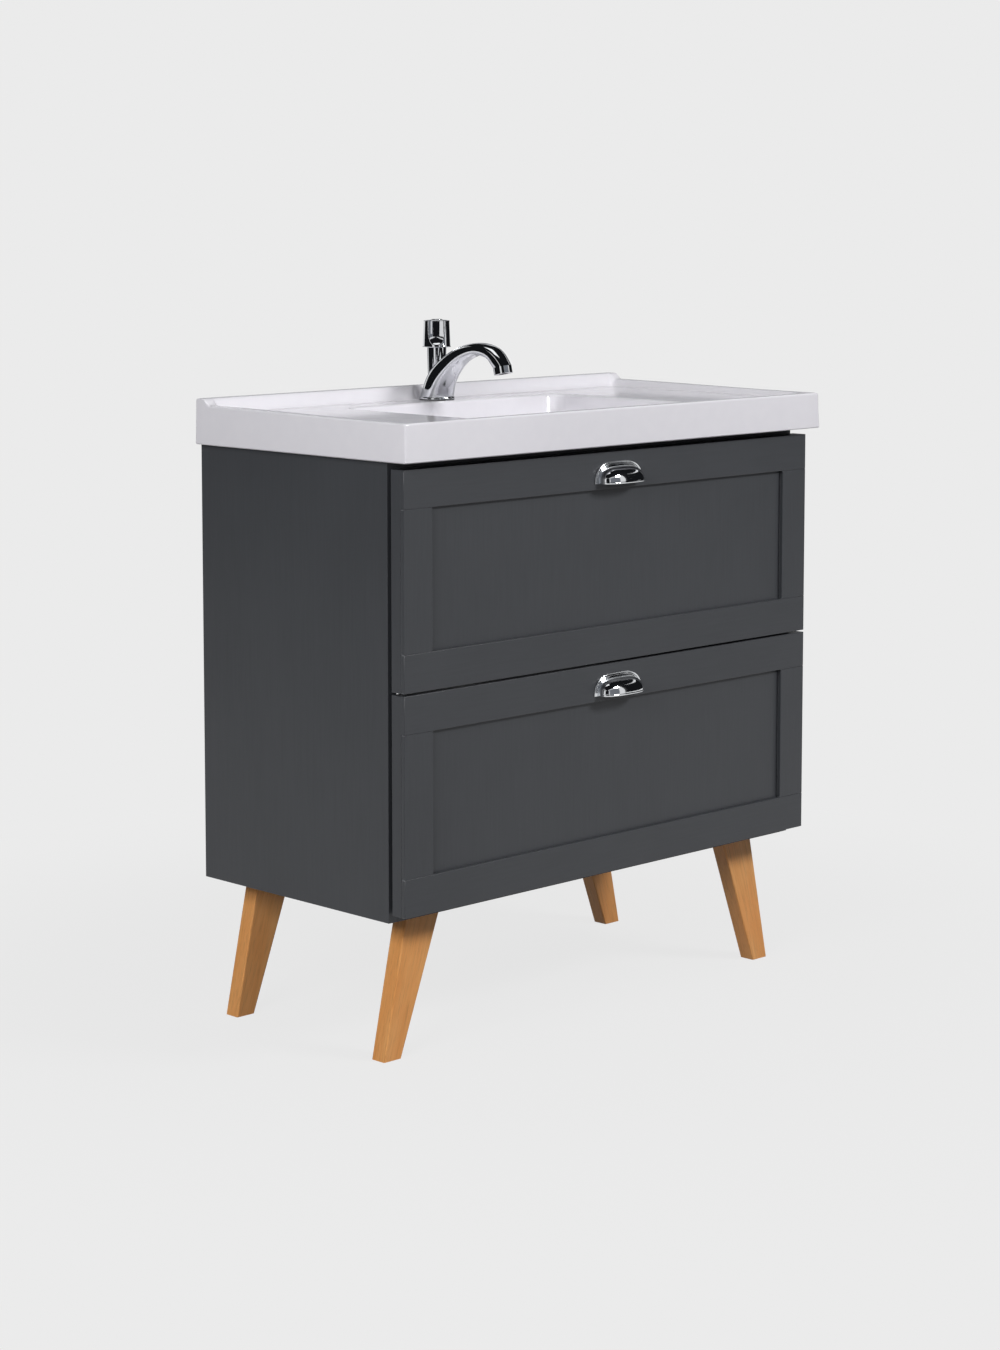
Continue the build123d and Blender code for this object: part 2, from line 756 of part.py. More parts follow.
with BuildPart() as tap_body:
    with Locations((0, tap_y, tap_z)):
        Cylinder(tap_foot / 2, tap_foot_height, align=ABOVE)
    fillet(tap_body.edges().group_by(Axis.Z)[-1], tap_foot_round)
    for reach, height, angle, width, thickness in spout_sections:
        along = Vector(0, -1, 0).rotate(Axis.X, -angle)
        centre = (0, tap_y - reach, tap_z + height)
        with BuildSketch(Plane(origin=centre, x_dir=(1, 0, 0), z_dir=along)):
            RectangleRounded(width, thickness, spout_corner_share * min(width, thickness))
    loft()
    with Locations((0, tap_y, tap_z + bonnet_seat)):
        Cylinder(bonnet_top / 2 + bonnet_clearance, bonnet_height, align=ABOVE, mode=Mode.SUBTRACT)
    with Locations((0, tap_y, tap_z)):
        Cylinder(tap_waterway / 2, bonnet_seat, align=ABOVE, mode=Mode.SUBTRACT)
        Cylinder((tap_shank + hole_clearance) / 2, tap_shank_grip, align=ABOVE, mode=Mode.SUBTRACT)
    with Locations(aerator_place):
        Cylinder(aerator, aerator, align=ABOVE, mode=Mode.SUBTRACT)
        Cylinder((aerator_bore + hole_clearance) / 2, aerator_seat, align=BELOW, mode=Mode.SUBTRACT)
keep(tap_body, "tap_body")

with BuildPart() as tap_aerator:
    with Locations(aerator_place):
        Cylinder(aerator / 2, aerator_height, align=ABOVE)
        Cylinder(aerator_bore / 2, aerator_seat, align=BELOW)
    with Locations(aerator_place * Location((0, 0, aerator_height))):
        Hole(aerator_bore / 2 - aerator_grid)
    with Locations(aerator_place * Location((0, 0, aerator_height / 2))):
        for turn in (0, 90):
            Box(aerator_bore, aerator_grid, aerator_grid, rotation=(0, 0, turn))
keep(tap_aerator, "tap_aerator")

with BuildPart() as tap_gasket_ring:
    with Locations((0, tap_y, tap_z)):
        Cylinder(tap_foot / 2 - tap_gasket_inset, tap_gasket, align=BELOW)
        Hole(tap_hole / 2)
keep(tap_gasket_ring, "tap_gasket")

with BuildPart() as tap_bonnet:
    with Locations((0, tap_y, bonnet_z)):
        Cone(bonnet_foot / 2, bonnet_top / 2, bonnet_height, align=ABOVE)
    with Locations((0, tap_y, bonnet_z + bonnet_height)):
        Hole(cartridge / 2)
keep(tap_bonnet, "tap_bonnet")

with BuildPart() as tap_cartridge:
    with Locations((0, tap_y, bonnet_z)):
        Cylinder(cartridge / 2 - cartridge_fit, cartridge_height, align=ABOVE)
    with Locations((0, tap_y, bonnet_z + cartridge_height)):
        Hole(spindle / 2 + spindle_clearance)
keep(tap_cartridge, "tap_cartridge")

with BuildPart() as tap_shank_tube:
    nut_bottom_z = carcass_top_z - tap_nut_height
    shank_length = tap_z + tap_shank_grip - nut_bottom_z
    with Locations((0, tap_y, nut_bottom_z)):
        Cylinder(tap_shank / 2, shank_length, align=ABOVE)
        Cylinder(tap_inlet / 2, tap_inlet_length, align=BELOW)
    with Locations((0, tap_y, nut_bottom_z + shank_length)):
        Hole(tap_waterway / 2)
keep(tap_shank_tube, "tap_shank")

with BuildPart() as tap_nut_ring:
    with BuildSketch(Plane.XY.offset(carcass_top_z - tap_nut_height)):
        with Locations((0, tap_y)):
            RegularPolygon(tap_nut / 2, HEX)
            Circle((tap_shank + hole_clearance) / 2, mode=Mode.SUBTRACT)
    extrude(amount=tap_nut_height)
keep(tap_nut_ring, "tap_nut")

# Knob: a slightly domed cylinder with flutes that run out towards its lower edge
spindle_top_z = knob_z + spindle_grip
with BuildPart() as tap_spindle:
    spindle_foot_z = bonnet_z + spindle_start
    with Locations((0, tap_y, spindle_foot_z)):
        Cylinder(spindle / 2, spindle_top_z - spindle_foot_z, align=ABOVE)
keep(tap_spindle, "tap_spindle")

with BuildPart() as tap_knob:
    with Locations((0, tap_y, knob_z)):
        Cylinder(knob / 2, knob_height, align=ABOVE)
    fillet(tap_knob.edges().group_by(Axis.Z)[-1], knob_crown)
    flute_axis = knob / 2 + knob_flute_radius - knob_flute_bite
    flute_length = 3 * knob_height
    with Locations((0, tap_y, knob_z + knob_height)):
        with PolarLocations(flute_axis, knob_flutes, start_angle=knob_flute_start):
            flute_turn = (0, -knob_flute_tilt, 0)
            Cylinder(knob_flute_radius, flute_length, rotation=flute_turn, mode=Mode.SUBTRACT)
    with Locations((0, tap_y, knob_z)):
        Cylinder((spindle + hole_clearance) / 2, spindle_grip, align=ABOVE, mode=Mode.SUBTRACT)
    with Locations((0, tap_y, knob_z + knob_height)):
        Cylinder((knob_cap + hole_clearance) / 2, knob_cap_height, align=BELOW, mode=Mode.SUBTRACT)
keep(tap_knob, "tap_knob")

with BuildPart() as knob_cap_disc:
    with Locations((0, tap_y, knob_z + knob_height)):
        Cylinder(knob_cap / 2, knob_cap_height, align=BELOW)
    fillet(knob_cap_disc.edges().group_by(Axis.Z)[-1], knob_cap_round)
keep(knob_cap_disc, "knob_cap")

os.makedirs("parts", exist_ok=True)
for piece in pieces:
    export_step(piece.part, f"parts/{piece.part.label}.step")
print(len(pieces), "pieces written")
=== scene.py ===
# %% [markdown]
# # A bathroom vanity
# A two-drawer cabinet on splayed wooden legs carries a moulded basin with a pillar tap. The boards, legs,
# runners and screws are already modelled to size, so this lesson dresses them in real finishes. The pieces
# whose looks depend on flowing curves, which are the basin, the tap and the cup pulls, are modelled anew
# over the plain ones.

# %% Load the frame
import json
import math

import bmesh
import bpy
from mathutils import Matrix, Vector


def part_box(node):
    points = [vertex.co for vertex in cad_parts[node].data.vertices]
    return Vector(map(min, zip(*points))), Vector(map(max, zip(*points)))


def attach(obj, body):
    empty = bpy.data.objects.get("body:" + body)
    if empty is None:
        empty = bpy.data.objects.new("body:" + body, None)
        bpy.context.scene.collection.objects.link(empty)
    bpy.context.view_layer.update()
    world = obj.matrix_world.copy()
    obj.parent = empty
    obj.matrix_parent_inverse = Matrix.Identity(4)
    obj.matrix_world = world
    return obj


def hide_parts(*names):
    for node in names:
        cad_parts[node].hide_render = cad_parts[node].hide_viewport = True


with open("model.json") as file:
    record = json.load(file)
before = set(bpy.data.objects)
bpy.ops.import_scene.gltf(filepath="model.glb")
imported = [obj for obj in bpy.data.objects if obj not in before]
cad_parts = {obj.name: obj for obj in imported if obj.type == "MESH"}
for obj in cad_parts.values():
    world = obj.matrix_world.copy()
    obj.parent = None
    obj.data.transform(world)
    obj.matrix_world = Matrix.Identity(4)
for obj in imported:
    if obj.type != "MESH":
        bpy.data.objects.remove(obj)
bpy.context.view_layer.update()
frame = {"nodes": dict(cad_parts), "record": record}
nodes = frame["nodes"]
record = frame["record"]
MM = 0.001

# %% [markdown]
# The camera stands in front of the left corner, a little above the basin, and looks slightly down. A wide
# lens close by would make the upright edges lean. A long lens from four metres keeps them almost parallel,
# and a small downward shift frames the cabinet without tilting the camera further.

# %% Camera
cabinet_middle = Vector((0, 0, 0.5))
camera_place = Vector((-2.851, -2.850, 1.110))
camera_turn = math.radians(44.63)
camera_dip = math.radians(6.01)

camera_data = bpy.data.cameras.new("camera")
camera_data.lens = 78.75
camera_data.shift_y = -0.13
camera = bpy.data.objects.new("camera", camera_data)
camera.location = camera_place
camera.rotation_euler = (math.pi / 2 - camera_dip, 0, -camera_turn)
bpy.context.scene.collection.objects.link(camera)
bpy.context.scene.camera = camera
bpy.context.scene.view_settings.view_transform = "Standard"
print("camera", round((camera_place - cabinet_middle).length, 2), "m from the cabinet")

# %% [markdown]
# Every finish below is a small node tree. Colours are written as sRGB hex values, as a paint program shows
# them, and one function turns them into the linear numbers that the shader wants. One function adds a node
# with its settings and links, so that no kind of node needs a function of its own. Another starts a material
# with the values that are the same all over its surface.


# %% Helpers for finishes
def srgb(code):
    """Linear RGBA of an sRGB hex colour."""
    channels = [int(code[i:i + 2], 16) / 255 for i in (1, 3, 5)]
    return *[c / 12.92 if c <= 0.04045 else ((c + 0.055) / 1.055) ** 2.4 for c in channels], 1.0


def add_node(tree, kind, settings, links=None):
    """Add a node. Settings name its properties or input sockets, links pair an input with an output."""
    node = tree.nodes.new("ShaderNode" + kind)
    for key, value in settings.items():
        if hasattr(node, str(key)):
            setattr(node, key, value)
        else:
            node.inputs[key].default_value = value
    for key, source in (links or {}).items():
        tree.links.new(source, node.inputs[key])
    return node


def start_finish(name, constants):
    """A new material, its tree and its shader, with constant values set on the shader's own sockets."""
    material = bpy.data.materials.new(name)
    material.use_nodes = True
    shader = material.node_tree.nodes["Principled BSDF"]
    for socket, value in constants.items():
        shader.inputs[socket].default_value = value
    return material, material.node_tree, shader


print("a middle grey of #808080 is", round(srgb("#808080")[0], 3), "in linear light")

# %% [markdown]
# The studio is a pale floor that runs out to a pale background. A floor that is lit until it looks white
# would need so much light that the basin burns out. So the background shows the camera, the metal and glass
# one plain tone, and lights the cabinet with a much weaker one. Light Path tells which kind of ray asks.

# %% Studio background
BACKDROP = srgb("#EBEBEB")
AMBIENT, AMBIENT_TINT = 0.14, srgb("#FBFDFF")


def shown_rays(tree):
    """1 for rays that show the background to the camera, metal or glass, 0 for rays that light things."""
    path = add_node(tree, "LightPath", {})
    first = add_node(tree, "Math", {"operation": "MAXIMUM"},
                     {0: path.outputs["Is Camera Ray"], 1: path.outputs["Is Glossy Ray"]})
    both = add_node(tree, "Math", {"operation": "MAXIMUM"},
                    {0: first.outputs[0], 1: path.outputs["Is Transmission Ray"]})
    return both.outputs[0]


world = bpy.data.worlds.new("studio")
bpy.context.scene.world = world
world.use_nodes = True
tree = world.node_tree
tree.nodes.clear()
light = add_node(tree, "Background", {"Color": AMBIENT_TINT, "Strength": AMBIENT})
shown = add_node(tree, "Background", {"Color": BACKDROP, "Strength": 1.0})
mixed = add_node(tree, "MixShader", {}, {0: shown_rays(tree), 1: light.outputs[0], 2: shown.outputs[0]})
add_node(tree, "OutputWorld", {}, {"Surface": mixed.outputs[0]})
print("background lights the cabinet at", AMBIENT)

# %% [markdown]
# The floor shows the same tone, so that no horizon is seen. Near the cabinet it also takes a share of real
# light, which leaves a faint shadow round the feet. To the cabinet it is a darker paper, so that it doesn't
# throw too much light up under the boards.

# %% Studio floor
FLOOR_WIDTH = 28.0
FLOOR_BOUNCE = srgb("#6A6A6C")
SHADOW_NEAR, SHADOW_REACH = 0.5, 1.3
SHADOW_SHARE = 0.08


def sheet(name, width, depth):
    """A level rectangle round the origin."""
    corners = [(-1, -1), (1, -1), (1, 1), (-1, 1)]
    mesh = bpy.data.meshes.new(name)
    mesh.from_pydata([(width / 2 * x, depth / 2 * y, 0) for x, y in corners], [], [(0, 1, 2, 3)])
    piece = bpy.data.objects.new(name, mesh)
    bpy.context.scene.collection.objects.link(piece)
    return piece


floor = sheet("floor", FLOOR_WIDTH, FLOOR_WIDTH)
paper = bpy.data.materials.new("studio_paper")
paper.use_nodes = True
tree = paper.node_tree
tree.nodes.clear()
coords = add_node(tree, "TexCoord", {})
distance = add_node(tree, "VectorMath", {"operation": "LENGTH"}, {0: coords.outputs["Object"]})
near = add_node(tree, "MapRange", {
    "interpolation_type": "SMOOTHSTEP", "From Min": SHADOW_NEAR, "From Max": SHADOW_REACH,
    "To Min": SHADOW_SHARE, "To Max": 0.0,
}, {"Value": distance.outputs["Value"]})
lit = add_node(tree, "BsdfDiffuse", {"Color": BACKDROP})
bounce = add_node(tree, "BsdfDiffuse", {"Color": FLOOR_BOUNCE})
glow = add_node(tree, "Emission", {"Color": BACKDROP, "Strength": 1.0})
seen = add_node(tree, "MixShader", {}, {0: near.outputs[0], 1: glow.outputs[0], 2: lit.outputs[0]})
mixed = add_node(tree, "MixShader", {}, {0: shown_rays(tree), 1: bounce.outputs[0], 2: seen.outputs[0]})
add_node(tree, "OutputMaterial", {}, {"Surface": mixed.outputs[0]})
floor.data.materials.append(paper)
print("floor", FLOOR_WIDTH, "m wide")

# %% [markdown]
# A softbox in front of the cabinet and to the right gives the main light. A larger one on the left opens the
# shaded side, a weak one behind lights the back boards, and a weak one overhead reaches into the bowl. The
# fill and the back lamp stay out of reflections, where they would show as stray white squares in the chrome.


# %% Studio lights
def aim_at(piece, place, aim):
    """Put a lamp or a card at a place and turn its front to an aim."""
    piece.location = place
    piece.rotation_euler = (Vector(aim) - Vector(place)).to_track_quat("-Z", "Y").to_euler()


def softbox(name, place, size, power, mirrored=True):
    """A rectangular lamp that points at the cabinet. If it is mirrored, reflections show it."""
    data = bpy.data.lights.new(name, "AREA")
    data.shape = "RECTANGLE"
    data.size, data.size_y = size
    data.energy = power
    lamp = bpy.data.objects.new(name, data)
    lamp.visible_glossy = mirrored
    aim_at(lamp, place, cabinet_middle)
    bpy.context.scene.collection.objects.link(lamp)


softbox("key", (1.2, -2.5, 2.3), (0.9, 0.6), 61)
softbox("fill", (-2.8, -1.0, 1.7), (1.4, 1.2), 54, mirrored=False)
softbox("back", (0.4, 3.2, 0.9), (2.4, 0.8), 16, mirrored=False)
softbox("top", (-0.2, 0.1, 2.9), (1.6, 1.2), 7)

# %% [markdown]
# Polished metal shows what stands round it, so a plain pale studio would make it look like white plastic.
# Cards that only reflections can see give it something to mirror. The dark ones give contrast, the grey ones
# give half tones, and the pale strips draw the long highlights on the tap and along the basin's rim.

# %% Cards for the reflections
DARK, DIM, PALE = "#17181A", "#777A80", "#EBEBEB"
BACK_TONE, LOW_BACK_TONE = "#8E8F94", "#85868A"


def card(name, place, size, tone, aim=None):
    """A flat card for mirror-like reflections. It faces its aim, or the cabinet at its own height."""
    piece = sheet(name, *size)
    material, tree, shader = start_finish(name, {})
    tree.nodes.remove(shader)
    glow = add_node(tree, "Emission", {"Color": srgb(tone), "Strength": 1.0})
    tree.links.new(glow.outputs[0], tree.nodes["Material Output"].inputs["Surface"])
    piece.data.materials.append(material)
    aim_at(piece, place, (0, 0, place[2]) if aim is None else aim)
    for ray in ("camera", "diffuse", "transmission", "volume_scatter", "shadow"):
        setattr(piece, "visible_" + ray, False)


card("ceiling_card", (0, 0, 3.4), (8, 8), DARK, aim=cabinet_middle)
card("left_card", (-3.3, 3.0, 1.6), (6.0, 3.2), DARK)
card("side_card", (-4.4, -0.7, 1.6), (4.0, 3.2), DARK)
card("side_strip", (-3.8, -1.2, 1.3), (1.3, 2.4), PALE)
card("camera_card", (-3.6, -3.4, 1.6), (3.0, 3.2), DARK)
card("front_card", (0.05, -4.6, 1.6), (5.3, 3.2), DIM)
card("front_strip", (-1.7, -4.0, 1.1), (0.45, 2.2), PALE)
card("right_card", (4.1, -2.2, 1.6), (3.4, 3.2), DARK)
card("far_card", (4.4, 0.6, 1.6), (4.0, 3.2), DARK)
card("back_card", (2.6, 3.2, 1.4), (6.0, 2.2), BACK_TONE)
card("rim_strip", (2.3, 2.6, 0.85), (6.0, 0.3), PALE)
card("low_back_card", (2.2, 2.5, 0.35), (6.0, 0.7), LOW_BACK_TONE)

# %% [markdown]
# A surface that is the same all over looks like plastic. Painted pictures could vary it, but they would have
# to be fitted to every piece. Noise patterns need no fitting: they fill space, and their sizes are given in
# real millimetres.


# %% Helpers for patterns
def per_mm(size):
    """Noise scale, in a space measured in metres, for a pattern of this size in millimetres."""
    return 1 / (size * MM)


def feed(tree, shader, sources):
    """Link the first output of each node to the shader's socket of that name."""
    for socket, node in sources.items():
        tree.links.new(node.outputs[0], shader.inputs[socket])


print("a pattern of 2 mm has a noise scale of", round(per_mm(2)))

# %% [markdown]
# The cabinet boards and drawer fronts are fibreboard under a dark grey satin lacquer. A roller leaves a fine
# stipple and very faint streaks along each board, which break up the reflections without being seen as a
# pattern. The stipple is drawn coarser than the real half millimetre, so that it shows.

# %% Grey lacquer on fibreboard
STREAK, STIPPLE, CLOUD = 3.2, 1.4, 120
LACQUER_RELIEF = 0.25
STREAK_STRETCH = 0.04
LACQUER_TONE, LACQUER_DEEP_TONE = "#3F4145", "#383A3E"


def lacquer(name, stretch):
    """Satin lacquer with roller streaks along one axis. The stretch is that of the pattern on X, Y and Z."""
    material, tree, shader = start_finish(name, {"IOR": 1.47, "Specular IOR Level": 0.5})
    place = add_node(tree, "TexCoord", {}).outputs["Object"]
    stretched = add_node(tree, "VectorMath", {"operation": "MULTIPLY", 1: stretch}, {0: place})
    streak = add_node(tree, "TexNoise", {"Scale": per_mm(STREAK), "Detail": 3.0, "Roughness": 0.6},
                      {"Vector": stretched.outputs[0]})
    stipple = add_node(tree, "TexNoise", {"Scale": per_mm(STIPPLE), "Detail": 2.0}, {"Vector": place})
    cloud = add_node(tree, "TexNoise", {"Scale": per_mm(CLOUD), "Detail": 2.0}, {"Vector": place})
    share = add_node(tree, "MapRange", {"From Min": 0.3, "From Max": 0.7}, {"Value": streak.outputs["Fac"]})
    spread = add_node(tree, "Math", {"operation": "MULTIPLY_ADD", 1: 0.5},
                      {0: share.outputs[0], 2: cloud.outputs["Fac"]})
    colour = add_node(tree, "MixRGB", {"Color1": srgb(LACQUER_DEEP_TONE), "Color2": srgb(LACQUER_TONE)},
                      {"Fac": spread.outputs[0]})
    rough = add_node(tree, "MapRange", {"From Min": 0.3, "From Max": 0.7, "To Min": 0.35, "To Max": 0.46},
                     {"Value": stipple.outputs["Fac"]})
    grain = add_node(tree, "Math", {"operation": "MULTIPLY_ADD", 1: 0.5},
                     {0: streak.outputs["Fac"], 2: stipple.outputs["Fac"]})
    bump = add_node(tree, "Bump", {"Strength": 0.22, "Distance": LACQUER_RELIEF * MM},
                    {"Height": grain.outputs[0]})
    feed(tree, shader, {"Base Color": colour, "Roughness": rough, "Normal": bump})
    return material


upright_board = lacquer("grey_lacquer_upright", (1, 1, STREAK_STRETCH))
level_board = lacquer("grey_lacquer_level", (STREAK_STRETCH, 1, 1))
print("made", upright_board.name, level_board.name)

# %% [markdown]
# The legs are plain, straight-grained wood, which oil has made honey-coloured. Fine dark pores and paler
# bands run down each leg, and the oil leaves a low sheen that is duller in the pores. The legs lean outwards,
# so the grain's own axis leans with them: the distance from the middle plane plus a share of the height stays
# the same along a leg. The left and right legs take their grain from different places, so they aren't
# mirrored. The pores are drawn coarser than the real few tenths of a millimetre, so that they show.

# %% Grain of the legs
LEG_LEAN = 0.293
LEG_SHIFT = 0.37
GRAIN_STRETCH = 0.045
BAND, FIBRE, WARMTH = 9, 1.6, 55

wood, tree, shader = start_finish("oiled_wood", {"IOR": 1.48, "Coat Weight": 0.12, "Coat Roughness": 0.35})
place = add_node(tree, "TexCoord", {}).outputs["Object"]
split = add_node(tree, "SeparateXYZ", {}, {0: place})
off_middle = add_node(tree, "Math", {"operation": "ABSOLUTE"}, {0: split.outputs["X"]})
across = add_node(tree, "Math", {"operation": "MULTIPLY_ADD", 1: LEG_LEAN},
                  {0: split.outputs["Z"], 2: off_middle.outputs[0]})
side = add_node(tree, "Math", {"operation": "SIGN"}, {0: split.outputs["X"]})
depth = add_node(tree, "Math", {"operation": "MULTIPLY_ADD", 1: LEG_SHIFT},
                 {0: side.outputs[0], 2: split.outputs["Y"]})
down = add_node(tree, "Math", {"operation": "MULTIPLY", 1: GRAIN_STRETCH}, {0: split.outputs["Z"]})
along = add_node(tree, "CombineXYZ", {}, {0: across.outputs[0], 1: depth.outputs[0], 2: down.outputs[0]})
band = add_node(tree, "TexNoise", {
    "Scale": per_mm(BAND), "Detail": 4.0, "Roughness": 0.55, "Distortion": 0.3,
}, {"Vector": along.outputs[0]})
fibre = add_node(tree, "TexNoise", {"Scale": per_mm(FIBRE), "Detail": 3.0, "Roughness": 0.65},
                 {"Vector": along.outputs[0]})
warmth = add_node(tree, "TexNoise", {"Scale": per_mm(WARMTH), "Detail": 2.0}, {"Vector": place})
print("grain leans", round(math.degrees(math.atan(LEG_LEAN)), 1), "degrees with the legs")

# %% [markdown]
# The bands mix a darker and a paler honey tone, slow patches warm it, and the pores darken it. The pores are
# also rougher than the wood between them and lie a little deeper, so they feed roughness and relief as well.

# %% Oiled wood
HONEY, PALE_HONEY, WARM_HONEY, PORE = srgb("#EBA45B"), srgb("#FCC07B"), srgb("#F0A057"), srgb("#BB7D46")
PORE_RELIEF = 0.2

band_share = add_node(tree, "MapRange", {"From Min": 0.32, "From Max": 0.68}, {"Value": band.outputs["Fac"]})
pore_share = add_node(tree, "MapRange", {"From Min": 0.50, "From Max": 0.72, "To Max": 0.55},
                      {"Value": fibre.outputs["Fac"]})
ground = add_node(tree, "MixRGB", {"Color1": HONEY, "Color2": PALE_HONEY}, {"Fac": band_share.outputs[0]})
warmed = add_node(tree, "MixRGB", {"Color2": WARM_HONEY},
                  {"Fac": warmth.outputs["Fac"], "Color1": ground.outputs[0]})
colour = add_node(tree, "MixRGB", {"Color2": PORE},
                  {"Fac": pore_share.outputs[0], "Color1": warmed.outputs[0]})
rough = add_node(tree, "MapRange", {"To Min": 0.36, "To Max": 0.56}, {"Value": fibre.outputs["Fac"]})
bump = add_node(tree, "Bump", {"Strength": 0.3, "Distance": PORE_RELIEF * MM, "invert": True},
                {"Height": fibre.outputs["Fac"]})
feed(tree, shader, {"Base Color": colour, "Roughness": rough, "Normal": bump})
print("made", wood.name)

# %% [markdown]
# The basin is cast from mineral filler and resin behind a sprayed gelcoat, buffed to a gloss. Its white is
# slightly cool. A buffed gelcoat isn't flat: it has a slow waviness that bends reflections, and hazier
# spots. Both are weak noise patterns, because a perfect mirror gloss would look like glass.

# %% Gelcoat
WAVE, HAZE = 70, 18
WAVE_RELIEF = 0.6

gelcoat, tree, shader = start_finish("white_gelcoat", {"IOR": 1.5})
place = add_node(tree, "TexCoord", {}).outputs["Object"]
wave = add_node(tree, "TexNoise", {"Scale": per_mm(WAVE), "Detail": 2.0}, {"Vector": place})
haze = add_node(tree, "TexNoise", {"Scale": per_mm(HAZE), "Detail": 4.0}, {"Vector": place})
colour = add_node(tree, "MixRGB", {"Color1": srgb("#E9E7ED"), "Color2": srgb("#EFEDF2")},
                  {"Fac": haze.outputs["Fac"]})
rough = add_node(tree, "MapRange", {"To Min": 0.06, "To Max": 0.15}, {"Value": haze.outputs["Fac"]})
bump = add_node(tree, "Bump", {"Strength": 0.015, "Distance": WAVE_RELIEF * MM},
                {"Height": wave.outputs["Fac"]})
feed(tree, shader, {"Base Color": colour, "Roughness": rough, "Normal": bump})
print("made", gelcoat.name)

# %% [markdown]
# The remaining finishes differ in colour, gloss and the size of one pattern, so one function makes them all.
# The pattern can be stretched along an axis, which turns spots into the lines that rolling, turning or
# pressing leaves behind.


# %% Helper for the plainer finishes
def plain_finish(name, constants, tones, size, roughness, relief=0.0, stretch=(1, 1, 1)):
    """A finish with one pattern of the given size in millimetres, shared by colour, roughness and relief."""
    material, tree, shader = start_finish(name, constants)
    place = add_node(tree, "TexCoord", {}).outputs["Object"]
    stretched = add_node(tree, "VectorMath", {"operation": "MULTIPLY", 1: stretch}, {0: place})
    pattern = add_node(tree, "TexNoise", {"Scale": per_mm(size), "Detail": 4.0, "Roughness": 0.6},
                       {"Vector": stretched.outputs[0]})
    colour = add_node(tree, "MixRGB", {"Color1": srgb(tones[0]), "Color2": srgb(tones[1])},
                      {"Fac": pattern.outputs["Fac"]})
    rough = add_node(tree, "MapRange", {
        "From Min": 0.3, "From Max": 0.7, "To Min": roughness[0], "To Max": roughness[1],
    }, {"Value": pattern.outputs["Fac"]})
    feed(tree, shader, {"Base Color": colour, "Roughness": rough})
    if relief:
        bump = add_node(tree, "Bump", {"Strength": 0.3, "Distance": relief * MM},
                        {"Height": pattern.outputs["Fac"]})
        feed(tree, shader, {"Normal": bump})
    return material


METAL = {"Metallic": 1.0}
print("metals start from", METAL)

# %% [markdown]
# The tap, the pulls and the overflow's ring are chromium plate over polished metal, and the waste's flange is
# plated over a blasted surface. Runners, screws and board fittings are steel plated with zinc. The parts
# inside and under the tap are turned brass.

# %% Metals
# Polished plate: a bright, faintly blue mirror, with a thin film of water marks that mostly changes the gloss
chrome = plain_finish("chromium_plate", METAL, ("#DADCDF", "#E6E8EA"), 12, (0.03, 0.08))
# Plate on a blasted surface: the same colour, but it scatters light, so it looks soft and even
satin = plain_finish("satin_chromium_plate", METAL, ("#CDCFD2", "#DBDDDF"), 5, (0.30, 0.40), 0.02)
# Rolled and plated steel: a duller grey with long streaks in the rolling direction
zinc = plain_finish("zinc_plated_steel", METAL, ("#A9ACAE", "#C4C7CA"), 4, (0.28, 0.42), 0.05, (1, 0.1, 1))
# Turned brass: a warm yellow with fine rings round its axis, drawn coarser than the cutter leaves them
brass = plain_finish("turned_brass", METAL, ("#B08D4A", "#C7A35C"), 0.8, (0.22, 0.34), 0.03, (0.1, 0.1, 1))
print("made", [m.name for m in (chrome, satin, zinc, brass)])

# %% [markdown]
# The drawer boxes are chipboard under white melamine paper. The waste's nut and tail and the guard round the
# trap are moulded plastic, and the seals are rubber. Along the eased edges of the drawer fronts the grey
# lacquer is painted a little paler, a painted highlight for the light that those edges catch.

# %% Painted edge highlight, rubber, drawer boards and plastic
# Painted highlight on the eased edges of the drawer fronts: a lacquer paler than the flat one, so each edge
# draws a fine light line
edge = plain_finish("painted_highlight_lacquer_edge", {"IOR": 1.47}, ("#6A6C70", "#76787C"), 9, (0.36, 0.48))
# Moulded rubber: almost black and dull all over, with a fine roughness from the mould
rubber = plain_finish("moulded_rubber", {"IOR": 1.52}, ("#1B1B1C", "#232324"), 2, (0.65, 0.8), 0.1)
# Printed melamine paper: a warm white with a pressed grain that catches light in fine lines
melamine = plain_finish("white_melamine", {"IOR": 1.5}, ("#DEDEDC", "#E6E6E4"), 2.5, (0.38, 0.5), 0.08,
                        (1, 0.06, 1))
# Moulded polypropylene: a slightly yellow white with a soft, waxy shine
plastic = plain_finish("white_polypropylene", {"IOR": 1.49}, ("#D9D9D6", "#E0E0DD"), 6, (0.35, 0.48), 0.05)
print("made", [m.name for m in (edge, rubber, melamine, plastic)])

# %% [markdown]
# The frame knows what each node is made of, so its record can choose the finish. Only two choices are made
# here: on rails the roller went sideways, so their streaks run level, and the waste's flange is satin plate.

# %% Dress the frame
FINISHES = {
    "grey_board": upright_board, "grey_front": upright_board, "drawer_board": melamine, "leg_wood": wood,
    "basin_gelcoat": gelcoat, "chrome": chrome, "zinc_steel": zinc, "brass": brass, "black_rubber": rubber,
    "white_plastic": plastic,
}


def dress(piece, material):
    """Give a piece one material in place of what it had."""
    piece.data.materials.clear()
    piece.data.materials.append(material)


for subpart in record["subparts"]:
    name = subpart["node"]
    dress(nodes[name], level_board if "rail" in name else FINISHES[subpart["material_slot"]])
dress(nodes["drain_flange"], satin)
print("dressed", len(record["subparts"]), "nodes")
